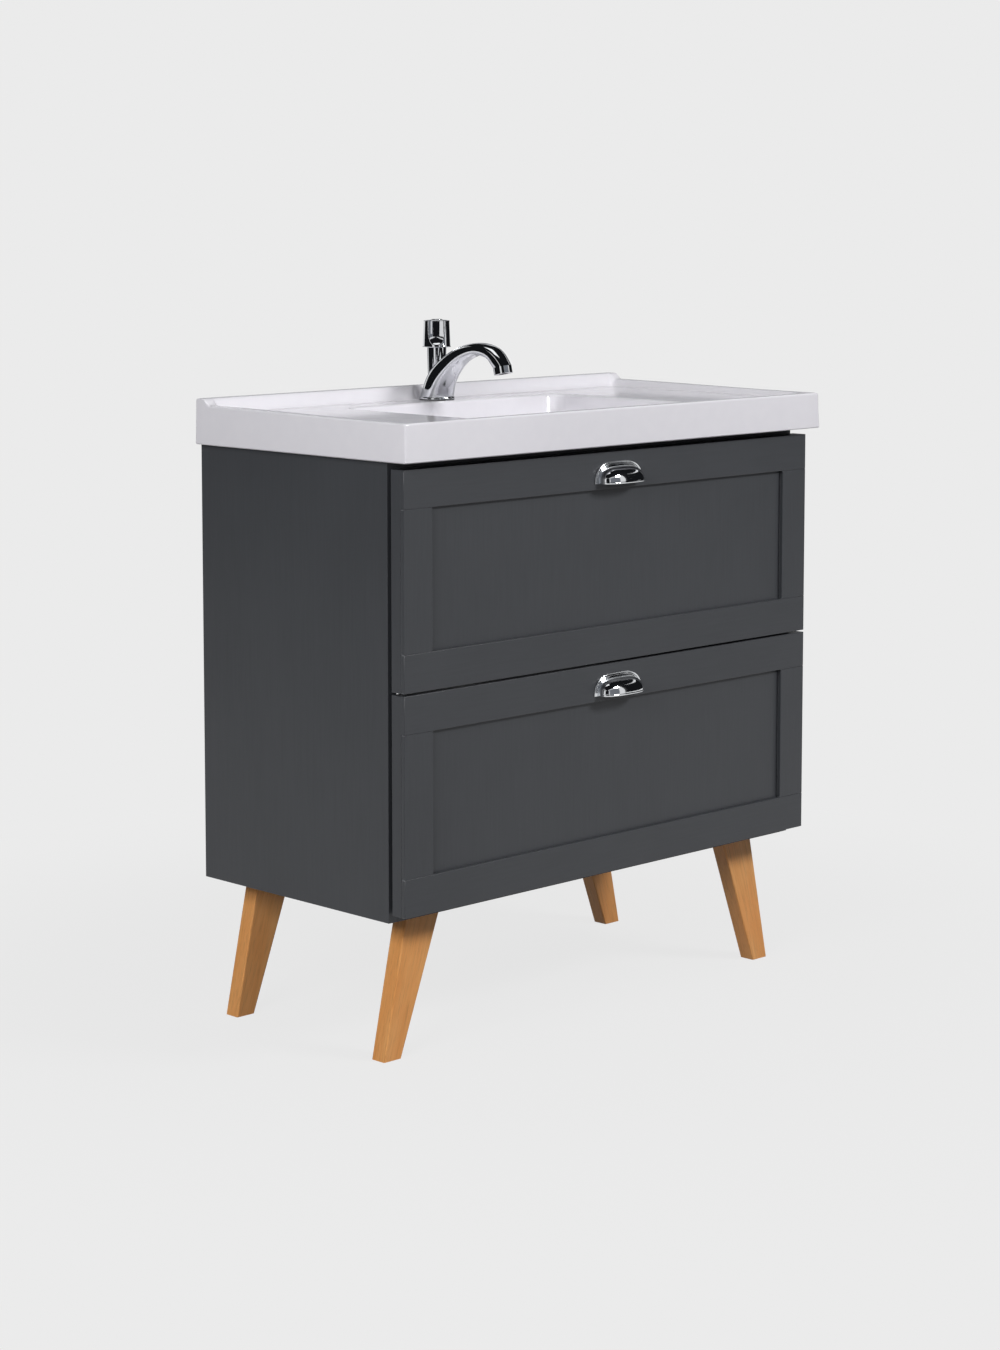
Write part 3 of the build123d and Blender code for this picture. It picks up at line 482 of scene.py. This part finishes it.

# %% [markdown]
# A sawn board never keeps a razor edge: the edges are eased with a sanding block before they are lacquered.
# The eased edge is about a millimetre wide and catches real light. On the drawer fronts it is also painted
# with a paler lacquer, so the fine light lines at their corners and joints are partly real highlight and
# partly painted highlight. A bevel modifier rounds every sharp edge at once. Welding first and merging flat
# faces gives it clean edges to run along, and normals weighted by area keep the flat faces flat.

# %% Eased edges
EASED = 0.9
EASED_STEPS = 3
FLAT_ANGLE, SHARP_ANGLE = math.radians(1), math.radians(60)
WELD = 0.002 * MM
BOARD_SLOTS = ("grey_board", "grey_front", "drawer_board")

boards = {s["node"]: s["material_slot"] for s in record["subparts"] if s["material_slot"] in BOARD_SLOTS}
for name, slot in boards.items():
    weld = nodes[name].modifiers.new("weld", "WELD")
    weld.merge_threshold = WELD
    flat = nodes[name].modifiers.new("flat", "DECIMATE")
    flat.decimate_type = "DISSOLVE"
    flat.angle_limit = FLAT_ANGLE
    ease = nodes[name].modifiers.new("ease", "BEVEL")
    ease.width = EASED * MM
    ease.segments = EASED_STEPS
    ease.limit_method = "ANGLE"
    ease.angle_limit = SHARP_ANGLE
    # the eased faces of a drawer front take the paler lacquer, a painted highlight
    if slot == "grey_front":
        nodes[name].data.materials.append(edge)
        ease.material = 1
    even = nodes[name].modifiers.new("even", "WEIGHTED_NORMAL")
    even.weight = 100
print("eased", len(boards), "boards")

# %% [markdown]
# The pieces with flowing curves are built as skins: rings of points, one after the other, with quads between
# neighbouring rings. It is how a boat or a bottle is drawn, and it keeps every highlight smooth, where a
# sculpted or subdivided mesh would drift off its sizes. Sizes are in millimetres in the lists, and become
# metres when the points are made.


# %% Helpers for meshes
def skin(rings, wrap=False, caps=False, shape=None):
    """Quads through rings of equal length, in millimetres, added to a bmesh or to a new one."""
    shape = shape or bmesh.new()
    grid = [[shape.verts.new(Vector(point) * MM) for point in ring] for ring in rings]
    followers = grid[1:] + grid[:1] if wrap else grid[1:]
    for ring, follower in zip(grid, followers):
        for i in range(len(ring)):
            shape.faces.new((ring[i - 1], ring[i], follower[i], follower[i - 1]))
    if caps:
        shape.faces.new(grid[0])
        shape.faces.new(grid[-1])
    return shape


def put(name, shape):
    """An object of a bmesh, welded and facing outwards."""
    bmesh.ops.remove_doubles(shape, verts=shape.verts, dist=WELD)
    bmesh.ops.recalc_face_normals(shape, faces=shape.faces)
    mesh = bpy.data.meshes.new(name)
    shape.to_mesh(mesh)
    shape.free()
    piece = bpy.data.objects.new(name, mesh)
    bpy.context.scene.collection.objects.link(piece)
    return piece


def install(piece, material, crease, body, slot, *stands_for):
    """Smooth a piece apart from edges over an angle, dress it and let it stand for plain nodes of a body."""
    piece.data.shade_smooth()
    piece.data.set_sharp_from_angle(angle=math.radians(crease))
    dress(piece, material)
    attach(piece, body)
    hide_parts(*stands_for)
    print(piece.name, "has", len(piece.data.polygons), "faces and stands for", *stands_for)


print("points closer than", WELD / MM, "mm are welded")

# %% [markdown]
# The basin is one casting. Its rim is level at the front, lifts a little towards the back and then climbs in
# a soft S to the upstand along the wall. Inside the rim the surface slopes to a sunken deck, and an upstand
# that would hit the tap's foot is scooped out round it. All of this is one height for each place on the plan,
# so a single function of X, Y and the inset from the edge gives it.

# %% Heights on top of the basin
basin_low, basin_high = (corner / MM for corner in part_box("basin"))
basin_half, basin_front, basin_back, upstand_top = basin_high.x, basin_low.y, basin_high.y, basin_high.z
under_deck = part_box("side_panel_left")[1].z / MM
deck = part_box("tap_gasket")[0].z / MM
tap_y = sum(corner.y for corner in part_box("tap_bonnet")) / 2 / MM

SKIRT_BOTTOM = under_deck - 29.5
SKIRT_DRAFT = 1.5
SKIRT_WALL = 9.5
RIM = deck + 8
RIM_WIDTH = 12.5
RIM_LIFT = 2.5
LIFT_FROM, LIFT_RUN = basin_back - 359.5, 330
DISH_SLOPE = 11
RAMP_FROM, RAMP_RUN = basin_back - 29, 14.5
SCOOP, SCOOP_EDGE = 28, 7
BACK_MARGIN = 1


def smooth(share):
    """An S-shaped step that is 0 up to a share of 0 and 1 from a share of 1."""
    share = max(0.0, min(1.0, share))
    return share * share * (3 - 2 * share)


def top_height(x, y, inset):
    """Height of the rim, its inner slope, the deck and the upstand."""
    climb = smooth((y - RAMP_FROM) / RAMP_RUN)
    lifted = RIM + RIM_LIFT * smooth((y - LIFT_FROM) / LIFT_RUN)
    rim = lifted + (upstand_top - lifted) * climb - deck
    rim *= 1 - smooth((inset - RIM_WIDTH) / DISH_SLOPE)
    scoop = smooth((math.hypot(x, y - tap_y) - SCOOP) / SCOOP_EDGE)
    return deck + scoop * max(rim, (upstand_top - deck) * climb)


def skirt_low(x, y):
    """Height of the skirt's lower edge. The back has no skirt, so the cabinet stands close to the wall."""
    open_back = y > basin_back - BACK_MARGIN and abs(x) < basin_half - SKIRT_WALL
    return under_deck if open_back else SKIRT_BOTTOM


print("deck at", round(deck, 1), "mm, tap", round(tap_y, 1), "mm behind the middle")

# %% [markdown]
# Every ring of the basin is a rounded rectangle with the same number of points, so that the rim, the bowl and
# the underside join without a seam. The stops along the sides crowd together near the back, where the rim
# climbs, and along the back they crowd round the tap's scoop.

# %% Outlines of the basin
CORNER_STEPS = 10
FRONT_STOPS = [i / 20 for i in range(1, 20)]
SIDE_STOPS = [0.06 * i for i in range(1, 15)] + [0.84 + 0.0062 * i for i in range(1, 26)]
BACK_HALF_STOPS = [0.0063, 0.0076] + [0.05 * i for i in range(1, 9)] + [0.43 + 0.005 * i for i in range(14)]


def reverse(stops):
    """The same stops, met from the other end."""
    return [1 - stop for stop in reversed(stops)]


BACK_STOPS = BACK_HALF_STOPS + [0.5] + reverse(BACK_HALF_STOPS)


def outline(half, front, back, front_round, back_round):
    """A rounded rectangle on the plan, from its front right corner anticlockwise."""
    corners = (
        # centre, radius and first angle of a corner's arc, and the stops on the side after it
        (half - front_round, front + front_round, front_round, -90, SIDE_STOPS),
        (half - back_round, back - back_round, back_round, 0, BACK_STOPS),
        (back_round - half, back - back_round, back_round, 90, reverse(SIDE_STOPS)),
        (front_round - half, front + front_round, front_round, 180, FRONT_STOPS),
    )
    arcs = []
    for x, y, radius, start, _ in corners:
        turns = [math.radians(start + 90 * i / CORNER_STEPS) for i in range(CORNER_STEPS + 1)]
        arcs.append([Vector((x + radius * math.cos(t), y + radius * math.sin(t))) for t in turns])
    points = []
    for arc, next_arc, corner in zip(arcs, arcs[1:] + arcs[:1], corners):
        points += arc + [arc[-1].lerp(next_arc[0], stop) for stop in corner[-1]]
    return points


def level(points, height):
    """A ring at one height."""
    return [(point.x, point.y, height) for point in points]


print("each ring has", len(outline(1, -1, 1, 0.1, 0.1)), "points")

# %% [markdown]
# The rings run up the outside, over the rim and the deck, down into the bowl to the waste hole, and back
# along the underside, so the skin closes on itself. The outside comes first. Each fillet is a few rings along
# an arc, and rings close beside a fillet keep the flat parts flat.

# %% Skirt and rim
EDGE_ROUND = 2.5
FOOT_ROUND = 1.2
CORNER, BACK_CORNER = 3, 4
DISH_CORNER, DISH_BACK_CORNER = 24, 12
ARC_STEPS = 8
RIM_RINGS, RIM_STEP = 22, 1.5


def rim_outline(inset):
    """The rim's outline at an inset, with corners that grow rounder inwards."""
    share = min(1, inset / RIM_WIDTH)
    return outline(basin_half - SKIRT_DRAFT - inset, basin_front + SKIRT_DRAFT + inset, basin_back - inset,
                   CORNER + (DISH_CORNER - CORNER) * share,
                   BACK_CORNER + (DISH_BACK_CORNER - BACK_CORNER) * share)


def rim_ring(inset, drop=0.0):
    """A ring over the rim and the deck at an inset, lowered by a drop."""
    return [(p.x, p.y, top_height(p.x, p.y, inset) - drop) for p in rim_outline(inset)]


def skirt_ring(inset, rise):
    """A ring near the skirt's lower edge."""
    points = outline(basin_half - inset, basin_front + inset, basin_back, CORNER, BACK_CORNER)
    return [(p.x, p.y, skirt_low(p.x, p.y) + rise) for p in points]


outside = [skirt_ring(FOOT_ROUND, 0), skirt_ring(0, FOOT_ROUND)]
for i in range(ARC_STEPS + 1):
    turn = math.pi / 2 * i / ARC_STEPS
    outside.append(rim_ring(EDGE_ROUND * (1 - math.cos(turn)), EDGE_ROUND * (1 - math.sin(turn))))
outside += [rim_ring(EDGE_ROUND + RIM_STEP * i) for i in range(1, RIM_RINGS + 1)]
print("skirt and rim have", len(outside), "rings")

# %% [markdown]
# The bowl's wall leans outwards, so that a mould can let go of it, and meets the floor in a round along which
# the corners grow tighter. The underside follows the same rings, grown by the thickness of the shell, so one
# function gives both.

# %% Bowl
BOWL_HALF, BOWL_FRONT, BOWL_BACK = 205, basin_back - 333, basin_back - 78
BOWL_CORNER = 22
BOWL_TAPER = math.radians(12)
BOWL_FLOOR = deck - 110
BOWL_LIP, LIP_MARGIN = 6, 2
BOWL_ROUND = 18
BOWL_SHELL = 10
wall_turn = math.pi / 2 - BOWL_TAPER


def bowl_ring(inset, height, corner):
    """A ring of the bowl at an inset from its outline on the deck."""
    return level(outline(BOWL_HALF - inset, BOWL_FRONT + inset, BOWL_BACK - inset, corner, corner), height)


def bowl_wall(shell):
    """Rings of the bowl's wall and rounded bottom, from the deck down, grown by a shell thickness."""
    bottom = BOWL_FLOOR - shell
    foot_inset = (deck - bottom) * math.tan(BOWL_TAPER) - shell
    run = BOWL_ROUND * math.tan(wall_turn / 2)
    rings = []
    for i in range(ARC_STEPS + 1):
        turn = wall_turn * (1 - i / ARC_STEPS)
        inset = foot_inset + run - BOWL_ROUND * math.sin(turn)
        height = bottom + BOWL_ROUND * (1 - math.cos(turn))
        wall_inset = (deck - height) * math.tan(BOWL_TAPER) - shell
        rings.append(bowl_ring(inset, height, BOWL_CORNER + shell - (inset - wall_inset)))
    return rings


lip_run = BOWL_LIP * math.tan(wall_turn / 2)
inside = [bowl_ring(-lip_run - LIP_MARGIN, deck, BOWL_CORNER + lip_run + LIP_MARGIN)]
for i in range(ARC_STEPS + 1):
    turn = wall_turn * i / ARC_STEPS
    inset = BOWL_LIP * math.sin(turn) - lip_run
    inside.append(bowl_ring(inset, deck - BOWL_LIP * (1 - math.cos(turn)), BOWL_CORNER - min(inset, 0)))
inside += bowl_wall(0)
print("bowl has", len(inside), "rings")

# %% [markdown]
# The waste hole is round and the bowl is not. Each point of the round rings lies in the direction of a point
# of the bowl's last ring, so the quads between them fan out evenly. Below the hole the casting is thicker, as
# a seat for the waste's nut.

# %% Waste hole, underside and skin
WASTE_HOLE = 21.25
WASTE_BOSS, WASTE_BOSS_BOTTOM = 37, basin_low.z
SKIRT_INNER_CORNER, SKIRT_INNER_BACK_CORNER = 3, 0.4
bowl_middle = Vector((0, (BOWL_FRONT + BOWL_BACK) / 2))


def round_ring(radius, height):
    """A circle about the bowl's middle, with each point in the direction of a point of the bowl's floor."""
    directions = [(Vector(point[:2]) - bowl_middle).normalized() for point in inside[-1]]
    return level([bowl_middle + direction * radius for direction in directions], height)


waste = [
    round_ring(WASTE_HOLE, BOWL_FLOOR), round_ring(WASTE_HOLE, WASTE_BOSS_BOTTOM),
    round_ring(WASTE_BOSS, WASTE_BOSS_BOTTOM), round_ring(WASTE_BOSS, BOWL_FLOOR - BOWL_SHELL),
]
under_inset = (deck - under_deck) * math.tan(BOWL_TAPER) - BOWL_SHELL
skirt_inside = outline(basin_half - SKIRT_WALL, basin_front + SKIRT_WALL, basin_back,
                       SKIRT_INNER_CORNER, SKIRT_INNER_BACK_CORNER)
underside = bowl_wall(BOWL_SHELL)[::-1] + [
    bowl_ring(under_inset, under_deck, BOWL_CORNER + BOWL_SHELL),
    level(skirt_inside, under_deck),
    [(p.x, p.y, skirt_low(p.x, p.y)) for p in skirt_inside],
]
basin = put("cast_basin", skin(outside + inside + waste + underside, wrap=True))
print("basin skin of", len(outside + inside + waste + underside), "rings")

# %% [markdown]
# The casting also carries a rib behind the bowl, which holds the overflow duct, and has holes for the tap and
# the overflow. Drawing these into the rings would upset every ring, so they are joined and cut with booleans,
# which suit a few crossings on flat stretches.

# %% Rib and holes of the basin
RIB_HALF = 19
RIB_SIDE = (
    # distance from the basin's back, depth below the deck
    (75.5, 9), (62, 9), (62, 131.6), (179.5, 131.6), (179.5, 115), (109.5, 115), (93.5, 100),
)
TAP_HOLE, TAP_HOLE_POINTS = 11.5, 48
OVERFLOW_HOLE, OVERFLOW_POINTS = 10.6, 40
OVERFLOW_DEPTH = 14
CUT_MARGIN = 5


def circle(centre, radius, height, count):
    """A level ring of points round a centre given as X and Y."""
    turns = [2 * math.pi * i / count for i in range(count)]
    return [(centre[0] + radius * math.cos(t), centre[1] + radius * math.sin(t), height) for t in turns]


def carve(piece, tool, operation):
    """Join a tool to a piece or cut it away, and keep the result as the piece's mesh."""
    change = piece.modifiers.new(operation.lower(), "BOOLEAN")
    change.operation = operation
    change.solver = "EXACT"
    change.object = tool
    bpy.context.view_layer.update()
    result = bpy.data.meshes.new_from_object(piece.evaluated_get(bpy.context.evaluated_depsgraph_get()))
    piece.modifiers.remove(change)
    piece.data = result
    bpy.data.objects.remove(tool)


rib_sides = [[(x, basin_back - off, deck - down) for off, down in RIB_SIDE] for x in (-RIB_HALF, RIB_HALF)]
carve(basin, put("rib", skin(rib_sides, caps=True)), "UNION")
bore_ends = (under_deck - CUT_MARGIN, deck + CUT_MARGIN)
tap_bore = [circle((0, tap_y), TAP_HOLE, z, TAP_HOLE_POINTS) for z in bore_ends]
carve(basin, put("tap_bore", skin(tap_bore, caps=True)), "DIFFERENCE")

ring_low, ring_high = (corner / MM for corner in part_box("overflow_ring"))
overflow_z = (ring_low.z + ring_high.z) / 2
overflow_spot = Vector((0, BOWL_BACK - (deck - overflow_z) * math.tan(BOWL_TAPER), overflow_z))
lean = Matrix.Rotation(math.pi / 2 - BOWL_TAPER, 4, "X")
bore_rings = [circle((0, 0), OVERFLOW_HOLE, z, OVERFLOW_POINTS) for z in (-OVERFLOW_DEPTH, OVERFLOW_DEPTH)]
bore_rings = [[lean @ Vector(point) + overflow_spot for point in ring] for ring in bore_rings]
carve(basin, put("overflow_bore", skin(bore_rings, caps=True)), "DIFFERENCE")
install(basin, gelcoat, 35, "cabinet", "basin_gelcoat", "basin")

# %% [markdown]
# The tap's body is a casting that sweeps up from a round foot and over into the spout. Its section changes
# all the way: round at the foot, flat-sided in the arch, round again at the outlet. Seven sections give the
# shape, a smooth curve through their numbers gives the ones between, and a superellipse gives each outline.

# %% Sections of the spout
tap_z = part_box("tap_body")[0].z / MM
SPOUT = (
    # reach, height, direction in degrees, width, thickness, squareness
    (0, 2, 90, 47, 47, 2.0),
    (10, 27, 62, 41, 38, 2.4),
    (28, 47, 43, 35, 28, 2.9),
    (54, 64, 24, 30, 21, 3.1),
    (86, 72.5, 0, 28, 17.5, 3.0),
    (114, 67, -36, 26.5, 19, 2.7),
    (131, 50, -77, 25, 25, 2.2),
)
SPOUT_POINTS = 72


def between(rows, place):
    """Numbers at a place along rows, on a smooth curve that passes through every row."""
    first = min(int(place), len(rows) - 2)
    share = place - first
    picks = [rows[min(max(first + step, 0), len(rows) - 1)] for step in (-1, 0, 1, 2)]
    return [
        b + 0.5 * share * (c - a + share * (2 * a - 5 * b + 4 * c - d + share * (3 * b - a - 3 * c + d)))
        for a, b, c, d in zip(*picks)
    ]


def bulge(value, squareness):
    """A cosine or sine bent towards the square."""
    return math.copysign(abs(value) ** (2 / squareness), value)


def spout_ring(place):
    """One section of the spout."""
    reach, height, direction, width, thickness, squareness = between(SPOUT, place)
    lean = math.radians(direction)
    ring = []
    for i in range(SPOUT_POINTS):
        turn = 2 * math.pi * i / SPOUT_POINTS
        across = width / 2 * bulge(math.cos(turn), squareness)
        out = thickness / 2 * bulge(math.sin(turn), squareness)
        ring.append((across, tap_y - reach + out * math.sin(lean), tap_z + height + out * math.cos(lean)))
    return ring


print("spout reaches", SPOUT[-1][0], "mm forwards from the tap's axis")

# %% [markdown]
# The foot is a turned disc with a rounded edge, so its rings are plain circles. The spout starts a little
# above its first section, where it is about as wide as the foot's last ring.

# %% Tap body
FOOT = (
    # radius, height
    (25.5, 0), (25.5, 1.6), (25.2, 2.3), (24.6, 2.7), (23.6, 2.9),
)
SPOUT_START = 0.28
SPOUT_STEPS = 56

foot_rings = [circle((0, tap_y), radius, tap_z + height, SPOUT_POINTS) for radius, height in FOOT]
last = len(SPOUT) - 1
places = [SPOUT_START + (last - SPOUT_START) * i / SPOUT_STEPS for i in range(SPOUT_STEPS + 1)]
tap_body = put("tap_casting", skin(foot_rings + [spout_ring(place) for place in places], caps=True))
install(tap_body, chrome, 38, "cabinet", "chrome", "tap_body")

# %% [markdown]
# The knob is a short, slightly tapered drum with three scooped flutes for wet fingers. A flute is what a
# round cutter leaves that goes straight down and then swings outwards, so each flute ends in a U. Cutting it
# with booleans would leave hard edges. In polar form the surface is the nearer of the drum and the cutter,
# with a small blend where they meet.

# %% Surface of the knob
knob_low, knob_high = (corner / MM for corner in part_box("tap_knob"))
KNOB_TOP_RADIUS, KNOB_FOOT_RADIUS = 18.6, 20.0
KNOB_FLUTES = 3
FLUTE_START = math.radians(225)
FLUTE_RADIUS = 34
FLUTE_TOP = 12
FLUTE_LENGTH = 33
FLUTE_CLEAR = 1
BLEND = 0.7
CROWN = 2.4
shoulder = knob_high.z - CROWN


def knob_radius(turn, height):
    """Distance of the knob's surface from its axis."""
    down = shoulder - height
    drum = KNOB_TOP_RADIUS + (KNOB_FOOT_RADIUS - KNOB_TOP_RADIUS) * down / (knob_high.z - knob_low.z)
    off = (turn + math.pi / KNOB_FLUTES) % (2 * math.pi / KNOB_FLUTES) - math.pi / KNOB_FLUTES
    run_out = 1 - math.sqrt(max(1 - (down / FLUTE_LENGTH) ** 2, 0))
    axis = FLUTE_TOP + FLUTE_RADIUS + (KNOB_FOOT_RADIUS + FLUTE_CLEAR - FLUTE_TOP) * run_out
    room = FLUTE_RADIUS ** 2 - (axis * math.sin(off)) ** 2
    flute = axis * math.cos(off) - math.sqrt(room) if room > 0 else 2 * drum
    mix = max(BLEND - abs(drum - flute), 0) / BLEND
    return min(drum, flute) - mix * mix * BLEND / 4


flute_depth = knob_radius(math.pi / KNOB_FLUTES, shoulder) - knob_radius(0, shoulder)
print("flutes are", round(flute_depth, 1), "mm deep")

# %% [markdown]
# The rings of the knob start in the recess under it, go round its foot and up the wall, over a rounded
# shoulder and across a slightly domed crown, and end at the cap that hides the screw.

# %% Tap knob
KNOB_POINTS = 192
KNOB_STEPS = 44
RECESS, RECESS_HEIGHT = 13.8, 3
KNOB_FOOT_EDGE = (
    # height above the foot, inset
    (0.0, 0.6), (0.18, 0.18), (0.6, 0.0),
)
KNOB_SHOULDER_EDGE = (
    # height above the shoulder, inset
    (0.35, 0.1), (0.65, 0.35), (0.85, 0.75),
)
CROWN_SHARES, CROWN_DOME = (0.96, 0.88, 0.76, 0.64), 1.1
CAP_RADIUS, CAP_RISE = 7.9, 1.7


def knob_ring(height, inset=0.0, share=1.0):
    """A ring of the knob, drawn in by an inset and to a share of its radius."""
    ring = []
    for i in range(KNOB_POINTS):
        turn = 2 * math.pi * i / KNOB_POINTS
        radius = (knob_radius(turn - FLUTE_START, min(height, shoulder)) - inset) * share
        ring.append((radius * math.cos(turn), tap_y + radius * math.sin(turn), height))
    return ring


wall_foot = knob_low.z + KNOB_FOOT_EDGE[-1][0]
edge_rise, edge_inset = KNOB_SHOULDER_EDGE[-1]
rings = [circle((0, tap_y), RECESS, knob_low.z + rise, KNOB_POINTS) for rise in (RECESS_HEIGHT, 0)]
rings += [knob_ring(knob_low.z + rise, inset) for rise, inset in KNOB_FOOT_EDGE]
rings += [knob_ring(wall_foot + (shoulder - wall_foot) * i / KNOB_STEPS) for i in range(1, KNOB_STEPS + 1)]
rings += [knob_ring(shoulder + rise, inset) for rise, inset in KNOB_SHOULDER_EDGE]
for share in CROWN_SHARES:
    rings.append(knob_ring(shoulder + edge_rise + CROWN_DOME * (1 - share ** 2), edge_inset, share))
rings.append(circle((0, tap_y), CAP_RADIUS, shoulder + CAP_RISE, KNOB_POINTS))
knob = put("fluted_knob", skin(rings, caps=True))
install(knob, chrome, 50, "knob", "chrome", "tap_knob")

# %% [markdown]
# The cup pulls are pressed shells: a domed hood with a hollow for the fingers and a flat flange with two
# beads round it. A flat sheet with thickness added could not have beads, so the shell is drawn as rings.
# Each ring is one cut through the shell at a place along the hood. It starts at the flange's outer edge, goes
# over the beads and the hood to the lower lip, and comes back along the inside.

# %% Sizes of a cup pull
pull_low, pull_high = (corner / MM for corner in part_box("upper_pull"))
FLANGE = 6
HOOD_HALF = (pull_high.x - pull_low.x) / 2 - FLANGE
HOOD_HEIGHT = pull_high.z - pull_low.z - FLANGE
HOOD_SQUARE, LIP_SQUARE, ARCH_SQUARE = 2.9, 3.0, 2.15
HOOD_BASE, HOOD_STEPS = 0.8, 18
PULL_WALL = 1.8
FLANGE_BEADS = (
    # distance outwards from the hood, height above the drawer front
    (FLANGE, 0.0), (FLANGE, 1.0), (5.8, 1.5), (5.2, 1.85), (4.5, 1.75), (4.0, 1.1), (3.6, 0.9), (3.2, 1.1),
    (2.8, 1.7), (2.0, 2.0), (1.3, 1.75), (0.8, 1.0), (0.35, 0.8),
)
LIP_BEAD = (
    # distance outwards from the hood, height above the lip
    (0.3, 2.7), (0.7, 2.2), (0.9, 1.5), (0.75, 0.7), (0.35, 0.15), (-0.3, 0.0),
)
LIP_PROUD, LIP_FADE = 0.9, 8
print("hood", round(2 * HOOD_HALF, 1), "mm wide and", round(HOOD_HEIGHT, 1), "mm high")

# %% [markdown]
# Seen from the front and from below, the hood is a squarish oval, so the same bent cosine that shapes the
# spout gives its outline. The flange's beads stand square to that outline, and the bead along the lip fades
# out towards both ends, where the hood runs into the flange.


# %% Section of a cup pull
def pull_ring(turn, face, depth, low):
    """One cut through the pull, at an angle from its left end over the top to its right end."""
    x = -HOOD_HALF * bulge(math.cos(turn), HOOD_SQUARE)
    share = min(abs(x) / HOOD_HALF, 1)
    tall = HOOD_HEIGHT * bulge(math.sin(turn), HOOD_SQUARE)
    deep = (1 - share ** LIP_SQUARE) ** (1 / LIP_SQUARE) * (depth - HOOD_BASE - LIP_PROUD)
    slope = Vector((math.copysign(share ** (HOOD_SQUARE - 1), x) / HOOD_HALF,
                    (tall / HOOD_HEIGHT) ** (HOOD_SQUARE - 1) / HOOD_HEIGHT)).normalized()
    ring = [(x + slope.x * out, up, tall + slope.y * out) for out, up in FLANGE_BEADS]
    fade = min(1, tall / LIP_FADE)
    foot = LIP_BEAD[0][1] * fade
    arch = [math.pi / 2 * i / HOOD_STEPS for i in range(HOOD_STEPS + 1)]
    for angle in reversed(arch):
        up = deep * bulge(math.cos(angle), ARCH_SQUARE) + HOOD_BASE
        ring.append((x, up, foot + (tall - foot) * bulge(math.sin(angle), ARCH_SQUARE)))
    ring += [(x, deep + HOOD_BASE + out * fade, z * fade) for out, z in LIP_BEAD]
    for angle in arch:
        up = max(deep - PULL_WALL, 0) * bulge(math.cos(angle), ARCH_SQUARE)
        ring.append((x, up, max(tall - PULL_WALL, 0) * bulge(math.sin(angle), ARCH_SQUARE)))
    return [(px, face - up, low + z) for px, up, z in ring]


print("each cut has", len(pull_ring(math.pi / 2, 0, pull_high.y - pull_low.y, 0)), "points")

# %% [markdown]
# Both drawers carry the same pull, so a loop makes two. Inside each hood stand two bosses that take the
# screws from behind the drawer front. Only a look from below shows them.

# %% Cup pulls
PULL_STATIONS = 96
PULL_BOSS_X, PULL_BOSS_UP = 32, 11
PULL_BOSS, PULL_BOSS_LENGTH, PULL_BOSS_EDGE = 3.8, 8, 1
PULL_BOSS_POINTS = 24
BOSS_PROFILE = (
    # radius, height above the drawer front
    (PULL_BOSS, 0),
    (PULL_BOSS, PULL_BOSS_LENGTH - PULL_BOSS_EDGE),
    (PULL_BOSS - PULL_BOSS_EDGE, PULL_BOSS_LENGTH),
)

turns = [math.pi * i / PULL_STATIONS for i in range(PULL_STATIONS + 1)]
for drawer in ("upper", "lower"):
    pull_low, pull_high = (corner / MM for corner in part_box(drawer + "_pull"))
    face, depth, low = pull_high.y, pull_high.y - pull_low.y, pull_low.z
    shape = skin([pull_ring(turn, face, depth, low) for turn in turns], caps=True)
    for x in (-PULL_BOSS_X, PULL_BOSS_X):
        boss = [circle((x, low + PULL_BOSS_UP), radius, up, PULL_BOSS_POINTS) for radius, up in BOSS_PROFILE]
        skin([[(px, face - up, z) for px, z, up in ring] for ring in boss], caps=True, shape=shape)
    pull = put(drawer + "_cup_pull", shape)
    install(pull, chrome, 45, drawer + "_drawer", "chrome", drawer + "_pull")
